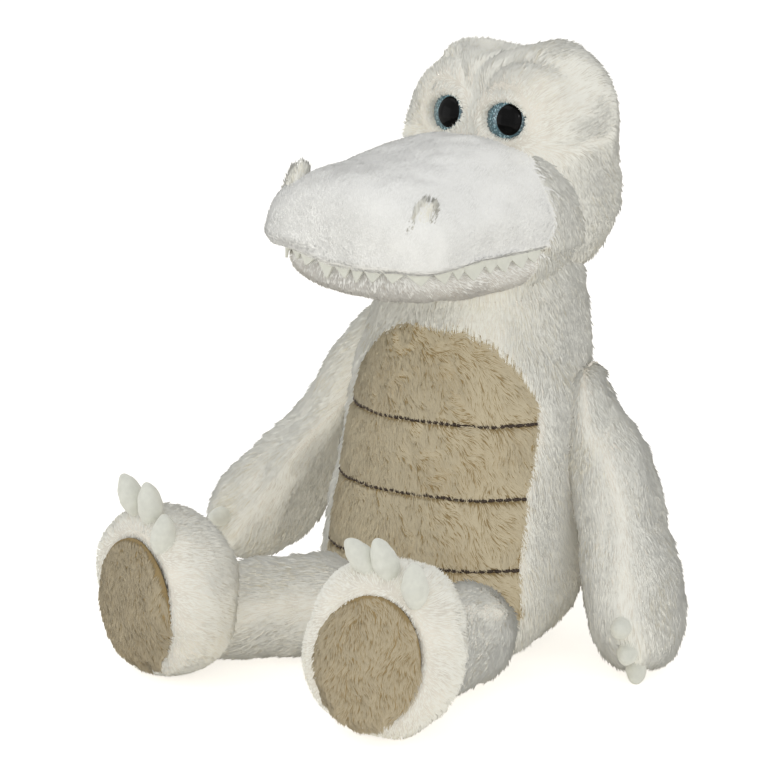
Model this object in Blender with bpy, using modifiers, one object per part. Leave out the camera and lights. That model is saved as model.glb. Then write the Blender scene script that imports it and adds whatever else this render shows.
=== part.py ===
"""Plush crocodile, seated: fur skins sewn as open bags over separate fillings, with a
turning, nodding head, swinging arms and legs and a tail that sweeps from side to side.

World frame: +Z up, the origin on the floor under the middle of the seat. The crocodile
faces -Y and its left side is +X. Every length is in metres.
"""

import math
from collections import namedtuple

import bmesh
import bpy
import numpy as np
from mathutils import Matrix, Vector

# Cloth, clearances and cutting
SEAM_GAP = 0.0003
RUNNING_GAP = 0.0006
FILLING_GAP = 0.0006
SKIN_THICKNESS = 0.005
FLAT_DEPTH = 0.0005
OVERRUN = 0.040

# Torso: its middle line leans back while every section stays level
LEAN_ANGLE = math.radians(12.0)
TORSO_HEIGHT = 0.225
TORSO_HALF_WIDTH = 0.072
TORSO_HALF_DEPTH = 0.063
NECK_HEIGHT = 0.190
NECK_RADIUS = 0.052
NECK_RIM_DROP = 0.012
PELLET_BAG_TOP = 0.026

# Belly panel and the sewn lines that draw it into segments
PANEL_BOTTOM = 0.021
PANEL_BOTTOM_HALF_WIDTH = 0.060
PANEL_SHOULDER = 0.122
PANEL_SHOULDER_HALF_WIDTH = 0.057
PANEL_TOP = 0.177
PANEL_CORNER = 0.010
PANEL_PROUD = 0.0015
STITCH_HEIGHTS = {"lower": 0.053, "middle": 0.089, "upper": 0.126}
STITCH_REACH_SHARE = 0.97
GROOVE_RADIUS = 0.0022
THREAD_RADIUS = 0.0007

# Head, level, about the neck's centre, turned to the crocodile's right
HEAD_TURN = math.radians(-11.0)
HEAD_BOTTOM = 0.003
HEAD_HEIGHT = 0.115
HEAD_HALF_WIDTH = 0.060
HEAD_HALF_DEPTH = 0.042
HEAD_SET_BACK = 0.022
LOBE_HEIGHT = 0.012
LOBE_SPACING = 0.033
LOBE_SPREAD = 0.020
LOBE_LENGTH = 0.045
EYE_DENT = 0.008
EYE_DENT_SPREAD = 0.016
HEAD_GAP = 0.0016

# Snout and lower jaw, measured forward from the middle of the head
MOUTH_HEIGHT = 0.030
SNOUT_REACH = 0.141
SNOUT_HALF_WIDTH = 0.063
SNOUT_RISE = 0.050
SNOUT_SAG = 0.004
SNOUT_INNER_SAG = 0.0015
JAW_HALF_WIDTH = 0.056
JAW_SET_BACK = 0.008
JAW_DEPTH = 0.032
JAW_FLAT = 0.002
TOOTH_DROP = 0.013
TOOTH_BAND = 0.006
TOOTH_TIP = 0.0012
TOOTH_CLEARANCE = 0.0004
FELT_THICKNESS = 0.0015
TOOTH_COUNT = 23
TEETH_START_SHARE = 0.30
NOSTRIL_SPACING = 0.041
NOSTRIL_SET_BACK = 0.012
NOSTRIL_HALF_THICKNESS = 0.0035
NOSTRIL_HALF_LENGTH = 0.008
NOSTRIL_HALF_HEIGHT = 0.010
NOSTRIL_LEAN = math.radians(20.0)

# Safety eyes
EYE_SPACING = 0.0195
EYE_HEIGHT = 0.088
EYE_REACH = -0.002
EYE_RADIUS = 0.0112
EYE_DOME = 0.0065
EYE_FLANGE = 0.0020
EYE_TURN = math.radians(12.0)
EYE_TILT = math.radians(10.0)
SHANK_RADIUS = 0.0025
SHANK_LENGTH = 0.016
WASHER_RADIUS = 0.008
WASHER_THICKNESS = 0.002
WASHER_DEPTH = 0.0095
PUPIL_HALF_WIDTH = 0.0052
PUPIL_HALF_HEIGHT = 0.0082
PUPIL_POCKET = 0.0012
PUPIL_PROUD = 0.0004

# Arms, in frames whose X is the swing axis and whose -Z runs down the arm
HAND_CLEARANCES = {"left": -0.0012, "right": 0.0166}
SHOULDER_BACK = 0.020
SHOULDER_SEAT = 0.0025
SHOULDER_PATCH = 0.045
ARM_OPENS_OUT = {"left": math.radians(12.0), "right": math.radians(22.0)}
ARM_OPEN_BACK = math.radians(10.0)
ARM_FORWARD = math.radians(25.0)
ARM_ABOVE_SHOULDER = 0.022
ARM_LENGTH = 0.170
ARM_HALF_THICKNESS = 0.025
ARM_HALF_WIDTH = 0.030

# Legs, in frames whose X is the swing axis and whose -Y runs down the leg
HIP_OUT = 0.043
HIP_FORWARD = 0.056
LEG_RADIUS = 0.0260
LEG_SPLAYS = {"left": math.radians(-1.0), "right": math.radians(50.0)}
FOOT_TURNS = {"left": math.radians(18.0), "right": math.radians(35.0)}
LEG_LENGTH = 0.074
FOOT_START = 0.060
FOOT_LENGTH = 0.058
FOOT_HALF_WIDTH = 0.041
FOOT_HALF_HEIGHT = 0.046
FOOT_ROLLS = {"left": math.radians(12.0), "right": math.radians(-4.0)}
SOLE_HALF_WIDTH = 0.0265
SOLE_HALF_HEIGHT = 0.0345
SOLE_DROP = 0.003
SOLE_PROUD = 0.0012

# Claws
TOE_CLAW_HALF_LENGTH = 0.010
TOE_CLAW_RADIUS = 0.0075
TOE_CLAW_FAN = math.radians(19.5)
TOE_CLAW_TURN = math.radians(-13.0)
TOE_CLAW_SET_BACK = 0.014
TOE_CLAW_EMBED = 0.0035
HAND_CLAW_HALF_LENGTH = 0.010
HAND_CLAW_RADIUS = 0.006
HAND_CLAW_FAN = math.radians(25.0)
HAND_CLAW_EMBED = 0.004
HAND_CLAW_TURN = math.radians(-42.0)

# Tail
TAIL_BACK = 0.076
TAIL_RADIUS = 0.025
TAIL_LENGTH = 0.082
TAIL_OPENING_RADIUS = 0.014

# Shapes as shares: how far up, half width, half depth, then where a limb curves out
TORSO_SHARES = (
    (0.00, 1.03, 1.03, 0.0),
    (0.20, 0.99, 0.99, 0.0),
    (0.35, 0.95, 0.96, 0.0),
    (0.53, 0.89, 0.92, 0.0),
    (0.70, 0.80, 0.88, 0.0),
    (0.82, 0.75, 0.85, 0.0),
    (1.00, 0.72, 0.82, 0.0),
)
HEAD_SHARES = (
    (0.00, 1.00, 1.00, 0.0),
    (0.30, 1.04, 1.03, 0.0),
    (0.70, 0.96, 1.00, 0.0),
    (1.00, 0.98, 0.96, 0.0),
)
SNOUT_SHARES = (
    (0.00, 0.97, 1.00, 0.0),
    (0.33, 1.00, 1.00, 0.0),
    (0.60, 1.00, 0.94, 0.0),
    (0.80, 0.99, 0.86, 0.0),
    (1.00, 0.97, 0.76, 0.0),
)
JAW_SHARES = (
    (0.00, 1.00, 0.80, 0.0),
    (0.45, 1.00, 1.00, 0.0),
    (0.75, 0.97, 0.85, 0.0),
    (1.00, 0.94, 0.60, 0.0),
)
ARM_SHARES = (
    (0.00, 1.08, 1.24, 0.95),
    (0.30, 1.04, 1.18, 0.82),
    (0.55, 0.88, 0.94, 0.66),
    (0.80, 0.74, 0.74, 0.45),
    (1.00, 0.70, 0.70, 0.22),
)
FOOT_SHARES = (
    (0.00, 0.78, 0.76, 0.0),
    (0.35, 0.93, 0.93, 0.0),
    (0.70, 1.00, 1.00, 0.0),
    (1.00, 0.96, 0.96, 0.0),
)
PLAIN_SHARES = ((0.00, 1.0, 1.0, 0.0), (1.00, 1.0, 1.0, 0.0))
LEG_END_SHARE = 0.93
TAIL_END_SHARE = 0.50
RING_GATHER_SHARE = 1.8

# Facets around and along each form; hollows and fillings take two thirds of them
TORSO_SIDES, TORSO_RINGS = 26, 16
HEAD_SIDES, HEAD_RINGS = 28, 16
SNOUT_SIDES, SNOUT_RINGS = 24, 14
JAW_SIDES, JAW_RINGS = 20, 9
LIMB_SIDES, LIMB_RINGS = 16, 12
FOOT_SIDES, FOOT_RINGS = 20, 10
SMALL_SIDES, SMALL_RINGS = 10, 8

Form = namedtuple("Form", "half_width half_depth bottom height shares profile section")

TORSO = Form(TORSO_HALF_WIDTH, TORSO_HALF_DEPTH, -FLAT_DEPTH, TORSO_HEIGHT, TORSO_SHARES, 4.5, 2.5)
HEAD = Form(HEAD_HALF_WIDTH, HEAD_HALF_DEPTH, HEAD_BOTTOM, HEAD_HEIGHT, HEAD_SHARES, 3.2, 2.8)
SNOUT = Form(SNOUT_HALF_WIDTH, SNOUT_RISE, 0.0, SNOUT_REACH, SNOUT_SHARES, 5.0, 2.4)
JAW = Form(JAW_HALF_WIDTH, JAW_DEPTH, 0.0, SNOUT_REACH - JAW_SET_BACK, JAW_SHARES, 4.0, 2.2)
ARM = Form(
    ARM_HALF_THICKNESS, ARM_HALF_WIDTH, ARM_ABOVE_SHOULDER - ARM_LENGTH, ARM_LENGTH, ARM_SHARES, 3.4, 2.2
)
FOOT = Form(FOOT_HALF_WIDTH, FOOT_HALF_HEIGHT, 0.0, FOOT_LENGTH, FOOT_SHARES, 3.4, 2.3)
NOSTRIL = Form(
    NOSTRIL_HALF_THICKNESS,
    NOSTRIL_HALF_LENGTH,
    -NOSTRIL_HALF_HEIGHT,
    2 * NOSTRIL_HALF_HEIGHT,
    PLAIN_SHARES,
    2.0,
    2.0,
)
TOE_CLAW = Form(
    TOE_CLAW_RADIUS, TOE_CLAW_RADIUS, -TOE_CLAW_HALF_LENGTH, 2 * TOE_CLAW_HALF_LENGTH, PLAIN_SHARES, 2.2, 2.0
)
HAND_CLAW = Form(
    HAND_CLAW_RADIUS,
    HAND_CLAW_RADIUS,
    -HAND_CLAW_HALF_LENGTH,
    2 * HAND_CLAW_HALF_LENGTH,
    PLAIN_SHARES,
    2.2,
    2.0,
)

WHITE_FUR = ("white_fur", (0.84, 0.83, 0.78), 0.95)
WHITE_SHORT_PILE = ("white_short_pile", (0.83, 0.83, 0.81), 0.90)
BEIGE_FUR = ("beige_fur", (0.60, 0.50, 0.40), 0.95)
FILLING = ("polyester_filling", (0.92, 0.92, 0.92), 1.00)
WHITE_FELT = ("white_felt", (0.80, 0.83, 0.80), 0.95)
BROWN_THREAD = ("brown_thread", (0.10, 0.06, 0.04), 0.80)
BLUE_IRIS = ("blue_iris", (0.22, 0.38, 0.44), 0.15)
BLACK_PUPIL = ("black_pupil", (0.01, 0.01, 0.01), 0.08)
WASHER_PLASTIC = ("washer_plastic", (0.85, 0.85, 0.85), 0.50)
PELLET_CLOTH = ("pellet_cloth", (0.75, 0.74, 0.70), 0.90)
SIDES = {"left": 1, "right": -1}


def clear_scene():
    for old in list(bpy.data.objects):
        bpy.data.objects.remove(old)


def collection(name):
    made = bpy.data.collections.new(name)
    bpy.context.scene.collection.children.link(made)
    return made


def material(name, colour, roughness):
    """A plain Principled material, made once for each name."""
    found = bpy.data.materials.get(name)
    if found:
        return found
    made = bpy.data.materials.new(name)
    made.use_nodes = True
    shader = made.node_tree.nodes["Principled BSDF"]
    shader.inputs["Base Color"].default_value = (*colour, 1.0)
    shader.inputs["Roughness"].default_value = roughness
    made.diffuse_color = (*colour, 1.0)
    return made


def frame(name, location=(0.0, 0.0, 0.0), turns=(), parent=None):
    """An empty that carries the pieces of one body. turns are (angle, axis), first one outermost."""
    made = bpy.data.objects.new(name, None)
    plush.objects.link(made)
    made.parent = parent
    made.location = location
    turned = Matrix.Identity(3)
    for angle, axis in turns:
        turned = turned @ Matrix.Rotation(angle, 3, axis)
    made.rotation_euler = turned.to_euler()
    return made


def place(name, mesh, parent=None, finish=None):
    """An object on its frame: a piece when it has a finish, and otherwise a cutter."""
    made = bpy.data.objects.new(name, mesh)
    (plush if finish else cutters).objects.link(made)
    made.parent = parent
    if finish:
        mesh.materials.append(material(*finish))
        mesh.shade_smooth()
    else:
        made.hide_render = True
        made.display_type = "WIRE"
    return made


def mesh_of(shape, name):
    mesh = bpy.data.meshes.new(name)
    shape.to_mesh(mesh)
    shape.free()
    return mesh


def facing_out(shape):
    """The closed shape with its faces turned outwards, whichever way it was mirrored."""
    if shape.calc_volume(signed=True) < 0:
        bmesh.ops.reverse_faces(shape, faces=shape.faces)
    return shape


def grown(form, by):
    """The form with its surface moved out by a distance, or in where it is negative."""
    return form._replace(
        half_width=form.half_width + by,
        half_depth=form.half_depth + by,
        bottom=form.bottom - by,
        height=form.height + 2 * by,
    )


def eased(share, table, column):
    """The table's column at a share of the height, on one smooth curve through its rows."""
    rows = np.array(table)
    knots = rows[:, 0]
    values = rows[:, column]
    slopes = np.gradient(values, knots)
    row = np.clip(np.searchsorted(knots, share) - 1, 0, len(knots) - 2)
    step = knots[row + 1] - knots[row]
    s = (share - knots[row]) / step
    return (
        values[row] * (1 + 2 * s) * (1 - s) ** 2
        + slopes[row] * step * s * (1 - s) ** 2
        + values[row + 1] * s * s * (3 - 2 * s)
        - slopes[row + 1] * step * s * s * (1 - s)
    )


def girth_at(form, share):
    """How much of its full section the form has at a share of its height."""
    along = np.abs(2 * share - 1)
    return np.clip(1 - along**form.profile, 0, 1) ** (1 / form.profile)


def soft_points(form, unit):
    """Points of a unit sphere drawn out into a soft form: its profile and its sections are
    superellipses, and the table swells and shifts it on the way up."""
    climb = np.arcsin(np.clip(unit[:, 2], -1, 1)) / (math.pi / 2)
    along = np.sign(climb) * (1 - (1 - np.abs(climb)) ** RING_GATHER_SHARE)
    share = (along + 1) / 2
    girth = girth_at(form, share)
    turn = np.arctan2(unit[:, 1], unit[:, 0])
    across = np.sign(np.cos(turn)) * np.abs(np.cos(turn)) ** (2 / form.section)
    deep = np.sign(np.sin(turn)) * np.abs(np.sin(turn)) ** (2 / form.section)
    return np.stack(
        [
            form.half_width * eased(share, form.shares, 1) * girth * across,
            form.half_depth * eased(share, form.shares, 2) * girth * deep,
            form.bottom + form.height * share,
        ],
        axis=1,
    )


def soft_mesh(name, form, sides, rings, reshape=None):
    shape = bmesh.new()
    bmesh.ops.create_uvsphere(shape, u_segments=sides, v_segments=rings, radius=1.0)
    points = soft_points(form, np.array([vertex.co for vertex in shape.verts]))
    if reshape:
        points = reshape(points)
    for vertex, point in zip(shape.verts, points):
        vertex.co = point
    return mesh_of(facing_out(shape), name)


def capsule_mesh(name, radius, length, end_share, sides, rings):
    """A ball at the joint whose outer half is carried along -Y, tapering to its end."""
    shape = bmesh.new()
    bmesh.ops.create_uvsphere(shape, u_segments=sides, v_segments=rings, radius=radius)
    for vertex in shape.verts:
        across, deep, up = vertex.co
        share = 1.0
        if up > 0:
            share = end_share
            up = up * end_share + length
        vertex.co = (across * share, -up, deep * share)
    return mesh_of(facing_out(shape), name)


def boolean(target, other, operation="DIFFERENCE"):
    step = target.modifiers.new(operation.lower() + "_" + other.name, "BOOLEAN")
    step.operation = operation
    step.object = other
    step.solver = "EXACT"
    return target


def cut(targets, *tools):
    for target in targets:
        for tool in tools:
            boolean(target, tool)


def box(name, low, high, parent=None):
    shape = bmesh.new()
    bmesh.ops.create_cube(shape, size=1.0)
    size = Vector(high) - Vector(low)
    middle = (Vector(high) + Vector(low)) / 2
    bmesh.ops.transform(
        shape, matrix=Matrix.Translation(middle) @ Matrix.Diagonal((*size, 1.0)), verts=shape.verts
    )
    return place(name, mesh_of(shape, name), parent)


def ball(name, radius, parent=None, finish=None, sides=24, rings=14):
    shape = bmesh.new()
    bmesh.ops.create_uvsphere(shape, u_segments=sides, v_segments=rings, radius=radius)
    return place(name, mesh_of(shape, name), parent, finish)


def prism(name, outline, axis_low, axis_high, parent=None, finish=None):
    """A flat outline in X and Z carried along Y, made as a bmesh face that is extruded."""
    shape = bmesh.new()
    corners = [shape.verts.new((x, axis_low, z)) for x, z in outline]
    face = shape.faces.new(corners)
    pushed = bmesh.ops.extrude_face_region(shape, geom=[face])
    moved = [item for item in pushed["geom"] if isinstance(item, bmesh.types.BMVert)]
    bmesh.ops.translate(shape, verts=moved, vec=(0.0, axis_high - axis_low, 0.0))
    bmesh.ops.recalc_face_normals(shape, faces=shape.faces)
    return place(name, mesh_of(facing_out(shape), name), parent, finish)


def oval_outline(half_width, half_height, middle, points=28):
    return [
        (
            half_width * math.cos(2 * math.pi * step / points),
            middle + half_height * math.sin(2 * math.pi * step / points),
        )
        for step in range(points)
    ]


def turned(name, profile, parent, finish=None, steps=20):
    """A turned piece from a profile of (radius, height), run down its outer side."""
    mesh = bpy.data.meshes.new(name)
    mesh.from_pydata([(r, 0.0, z) for r, z in profile], [(i, i + 1) for i in range(len(profile) - 1)], [])
    made = place(name, mesh, parent, finish)
    screw = made.modifiers.new("turn", "SCREW")
    screw.steps = steps
    screw.render_steps = steps
    screw.use_merge_vertices = True
    screw.merge_threshold = 0.00001
    return made


def tube(name, route, radius, parent=None, finish=None):
    """A curve with a round bevel through the route's points, made a mesh with welded caps."""
    curve = bpy.data.curves.new(name, "CURVE")
    curve.dimensions = "3D"
    curve.bevel_depth = radius
    curve.bevel_resolution = 1
    curve.use_fill_caps = True
    spline = curve.splines.new("POLY")
    spline.points.add(len(route) - 1)
    for point, place_of in zip(spline.points, route):
        point.co = (*place_of, 1.0)
    source = bpy.data.objects.new(name + "_curve", curve)
    cutters.objects.link(source)
    bpy.context.view_layer.update()
    graph = bpy.context.evaluated_depsgraph_get()
    mesh = bpy.data.meshes.new_from_object(source.evaluated_get(graph))
    bpy.data.objects.remove(source)
    shape = bmesh.new()
    shape.from_mesh(mesh)
    bmesh.ops.remove_doubles(shape, verts=shape.verts, dist=radius / 50)
    facing_out(shape).to_mesh(mesh)
    shape.free()
    return place(name, mesh, parent, finish)


def skin_and_filling(name, parent, finish, form_mesh, sides, rings, gap=FILLING_GAP):
    """A skin and the filling inside it. form_mesh(grow, sides, rings) makes the soft form
    grown by a distance; the skin is hollowed by the form drawn in by its thickness."""
    few = (sides * 2 // 3, rings * 2 // 3)
    skin = place(name + "_skin", form_mesh(0.0, sides, rings), parent, finish)
    hollow = place(name + "_hollow", form_mesh(-SKIN_THICKNESS, *few), parent)
    filling = place(name + "_filling", form_mesh(-SKIN_THICKNESS - gap, *few), parent, FILLING)
    boolean(skin, hollow)
    return skin, filling


def lean(points):
    """Each section moved back in step with its height."""
    points[:, 1] += points[:, 2] * math.tan(LEAN_ANGLE)
    return points


def lean_at(height):
    return height * math.tan(LEAN_ANGLE)


def torso_mesh(grow, sides, rings):
    return soft_mesh("torso_form", grown(TORSO, grow), sides, rings, lean)


def torso_section(height, proud=0.0):
    """Half width and half depth of the torso's section at a height."""
    share = (height - TORSO.bottom) / TORSO.height
    girth = girth_at(TORSO, share)
    half_width = (TORSO.half_width + proud) * eased(share, TORSO.shares, 1) * girth
    half_depth = (TORSO.half_depth + proud) * eased(share, TORSO.shares, 2) * girth
    return float(half_width), float(half_depth)


def torso_front(across, height, proud=0.0):
    """The torso's front surface at a place across it and up it."""
    half_width, half_depth = torso_section(height, proud)
    left = 1 - abs(across / half_width) ** TORSO.section
    return lean_at(height) - half_depth * left ** (1 / TORSO.section)


def torso_side(back, height):
    """How far out the torso's side is at a place behind its middle line."""
    half_width, half_depth = torso_section(height)
    return half_width * (1 - abs(back / half_depth) ** TORSO.section) ** (1 / TORSO.section)


def panel_outline(gap):
    """The belly panel's outline: an arch on two nearly straight sides, with round corners below."""
    top = PANEL_TOP + gap
    bottom = PANEL_BOTTOM - gap
    low_half = PANEL_BOTTOM_HALF_WIDTH + gap
    high_half = PANEL_SHOULDER_HALF_WIDTH + gap
    corner = [
        (
            low_half - PANEL_CORNER + PANEL_CORNER * math.cos(angle),
            bottom + PANEL_CORNER + PANEL_CORNER * math.sin(angle),
        )
        for angle in np.radians([-90, -60, -30, 0])
    ]
    arch = [
        (high_half * math.cos(angle), PANEL_SHOULDER + (top - PANEL_SHOULDER) * math.sin(angle))
        for angle in np.radians(np.linspace(0, 90, 8))
    ]
    right = corner + arch
    return right + [(-x, z) for x, z in reversed(right[:-1])]


def panel_half_width(height):
    """Half the belly panel's width at a height, along its straight sides or its arch."""
    if height <= PANEL_SHOULDER:
        share = (height - PANEL_BOTTOM) / (PANEL_SHOULDER - PANEL_BOTTOM)
        return PANEL_BOTTOM_HALF_WIDTH + share * (PANEL_SHOULDER_HALF_WIDTH - PANEL_BOTTOM_HALF_WIDTH)
    share = (height - PANEL_SHOULDER) / (PANEL_TOP - PANEL_SHOULDER)
    return PANEL_SHOULDER_HALF_WIDTH * math.sqrt(1 - share**2)


def stitch_route(height, depth, reach):
    """Points across the belly panel at one height, sunk below its fur by a depth."""
    return [
        (across, torso_front(across, height, PANEL_PROUD) + depth, height)
        for across in np.linspace(-reach, reach, 13)
    ]


def make_torso(floor):
    skin, filling = skin_and_filling("torso", None, WHITE_FUR, torso_mesh, TORSO_SIDES, TORSO_RINGS)
    pellets = place(
        "seat_pellet_bag",
        torso_mesh(-SKIN_THICKNESS - SEAM_GAP, TORSO_SIDES * 2 // 3, TORSO_RINGS * 2 // 3),
        None,
        PELLET_CLOTH,
    )
    reach = TORSO_HALF_WIDTH + OVERRUN
    cut([pellets], box("above_pellets", (-reach, -reach, PELLET_BAG_TOP), (reach, reach, TORSO_HEIGHT)))
    below = PELLET_BAG_TOP + SEAM_GAP
    cut([filling], box("below_filling", (-reach, -reach, -reach), (reach, reach, below)))
    rim = NECK_HEIGHT - NECK_RIM_DROP
    above_rim = box("above_rim", (-reach, -reach, rim), (reach, reach + lean_at(rim), rim + TORSO_HEIGHT))
    cut([skin, filling], above_rim)
    cut([skin], floor)

    panel = place("belly_panel", torso_mesh(PANEL_PROUD, TORSO_SIDES, TORSO_RINGS), None, BEIGE_FUR)
    front = -TORSO_HALF_DEPTH - OVERRUN
    boolean(panel, bpy.data.objects["torso_hollow"])
    boolean(panel, prism("panel_shape", panel_outline(0.0), front, 0.0), "INTERSECT")
    cut([skin], prism("panel_opening", panel_outline(SEAM_GAP), front, 0.0))
    for name, height in STITCH_HEIGHTS.items():
        reach = STITCH_REACH_SHARE * panel_half_width(height)
        groove = tube("groove_" + name, stitch_route(height, 0.0, reach + GROOVE_RADIUS), GROOVE_RADIUS)
        cut([panel], groove)
        depth = GROOVE_RADIUS - THREAD_RADIUS - SEAM_GAP
        tube("belly_stitch_" + name, stitch_route(height, depth, reach), THREAD_RADIUS, None, BROWN_THREAD)
    return skin, filling, pellets, panel


def make_neck(neck_frame):
    """A band of skin round a ball of filling, which turns in the torso and nods in the head."""
    skin = ball("neck_skin", NECK_RADIUS, neck_frame, WHITE_FUR)
    inside = ball("neck_inside", NECK_RADIUS - SKIN_THICKNESS, neck_frame, None, 18, 12)
    ball("neck_filling", NECK_RADIUS - SKIN_THICKNESS - SEAM_GAP, neck_frame, FILLING, 18, 12)
    reach = NECK_RADIUS + OVERRUN
    band = NECK_RADIUS * 0.6
    below = box("below_band", (-reach, -reach, -reach), (reach, reach, -band), neck_frame)
    above = box("above_band", (-reach, -reach, band), (reach, reach, reach), neck_frame)
    cut([skin], inside, below, above)


def head_reshape(points):
    """Two lobes raised on the crown over dents for the eyes, and the head set back from the neck."""
    crown = np.clip((points[:, 2] - HEAD_BOTTOM) / HEAD_HEIGHT, 0, 1) ** 4
    lobe = np.exp(-(((np.abs(points[:, 0]) - LOBE_SPACING) / LOBE_SPREAD) ** 2))
    along = np.exp(-((points[:, 1] / LOBE_LENGTH) ** 2))
    off_eye = np.hypot(np.abs(points[:, 0]) - EYE_SPACING, points[:, 2] - EYE_HEIGHT)
    dent = np.exp(-((off_eye / EYE_DENT_SPREAD) ** 2))
    points[:, 1] += EYE_DENT * dent * np.clip(-points[:, 1] / HEAD_HALF_DEPTH, 0, 1)
    points[:, 2] += LOBE_HEIGHT * crown * lobe * along
    points[:, 1] += HEAD_SET_BACK
    return points


def head_mesh(grow, sides, rings):
    return soft_mesh("head_form", grown(HEAD, grow), sides, rings, head_reshape)


def snout_mesh(grow, sides, rings):
    """A form laid along -Y, high above the mouth line and nearly flat below it. The forms inside
    the skin share one rim, raised so that the skin has its thickness under the mouth too."""
    form = grown(SNOUT, grow)
    rim = SKIN_THICKNESS - SNOUT_SAG + SNOUT_INNER_SAG if grow < 0 else 0.0

    def reshape(points):
        across, up, along = points.T
        reach = np.where(up > 0, form.half_depth - rim, rim + SNOUT_SAG + grow)
        height = rim + up * reach / form.half_depth
        return np.stack([across, HEAD_SET_BACK - along, MOUTH_HEIGHT + height], axis=1)

    return soft_mesh("snout_form", form, sides, rings, reshape)


def snout_top(across, forward):
    """The height of the snout's upper surface above the head frame at a place on it."""
    share = forward / SNOUT.height
    girth = girth_at(SNOUT, share)
    half_width = SNOUT.half_width * float(eased(share, SNOUT.shares, 1)) * girth
    rise = SNOUT.half_depth * float(eased(share, SNOUT.shares, 2)) * girth
    return MOUTH_HEIGHT + rise * (1 - abs(across / half_width) ** SNOUT.section) ** (1 / SNOUT.section)


def jaw_mesh(grow, sides, rings):
    """A dish laid along -Y under the mouth line. The forms inside the skin share one lower rim."""
    form = grown(JAW, grow)
    inner = SKIN_THICKNESS if grow < 0 else 0.0
    rim = -SNOUT_SAG - SEAM_GAP - JAW_FLAT - inner

    def reshape(points):
        across, up, along = points.T
        reach = np.where(up > 0, JAW_FLAT + grow + inner, form.half_depth + rim)
        height = rim + up * reach / form.half_depth
        return np.stack([across, HEAD_SET_BACK - along, MOUTH_HEIGHT + height], axis=1)

    return soft_mesh("jaw_form", form, sides, rings, reshape)


def rim_route(clearance):
    """The jaw's upper rim seen from above, moved out by a clearance, from its right to its left."""
    form = grown(JAW, clearance)
    shares = TEETH_START_SHARE + (1 - TEETH_START_SHARE) * np.sin(np.linspace(0, math.pi / 2, 200))
    across = form.half_width * eased(shares, form.shares, 1) * girth_at(form, shares)
    back = HEAD_SET_BACK - form.height * shares
    right = np.stack([-across, back], axis=1)
    left = np.stack([across, back], axis=1)[::-1]
    return np.concatenate([right, left[1:]])


def make_teeth(head_frame):
    """One felt strip along the mouth, cut into points, standing just outside the jaw."""
    steps = 2 * TOOTH_COUNT
    out = FELT_THICKNESS + TOOTH_CLEARANCE
    fine = rim_route(out)
    walked = np.concatenate([[0.0], np.cumsum(np.linalg.norm(np.diff(fine, axis=0), axis=1))])
    stops = np.linspace(0.0, walked[-1], steps + 1)
    route = np.stack([np.interp(stops, walked, fine[:, axis]) for axis in (0, 1)], axis=1)
    top = MOUTH_HEIGHT
    shape = bmesh.new()
    upper = [shape.verts.new((x, y, top)) for x, y in route]
    lower = [shape.verts.new((x, y, top - TOOTH_BAND)) for x, y in route]
    for step in range(steps):
        shape.faces.new((upper[step], upper[step + 1], lower[step + 1], lower[step]))
    for tooth in range(TOOTH_COUNT):
        start, middle, end = (Vector((*route[2 * tooth + step], 0.0)) for step in range(3))
        along = (end - start).normalized() * TOOTH_TIP / 2
        tips = [
            shape.verts.new(middle + side * along + Vector((0.0, 0.0, top - TOOTH_DROP))) for side in (1, -1)
        ]
        row = [lower[2 * tooth + step] for step in range(3)]
        shape.faces.new((row[0], row[1], row[2], tips[0], tips[1]))
    bmesh.ops.triangulate(shape, faces=[face for face in shape.faces if len(face.verts) > 4])
    strip = place("teeth_strip", mesh_of(shape, "teeth_strip"), head_frame, WHITE_FELT)
    wall = strip.modifiers.new("felt", "SOLIDIFY")
    wall.thickness = FELT_THICKNESS
    wall.offset = 0.0
    return strip


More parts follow.
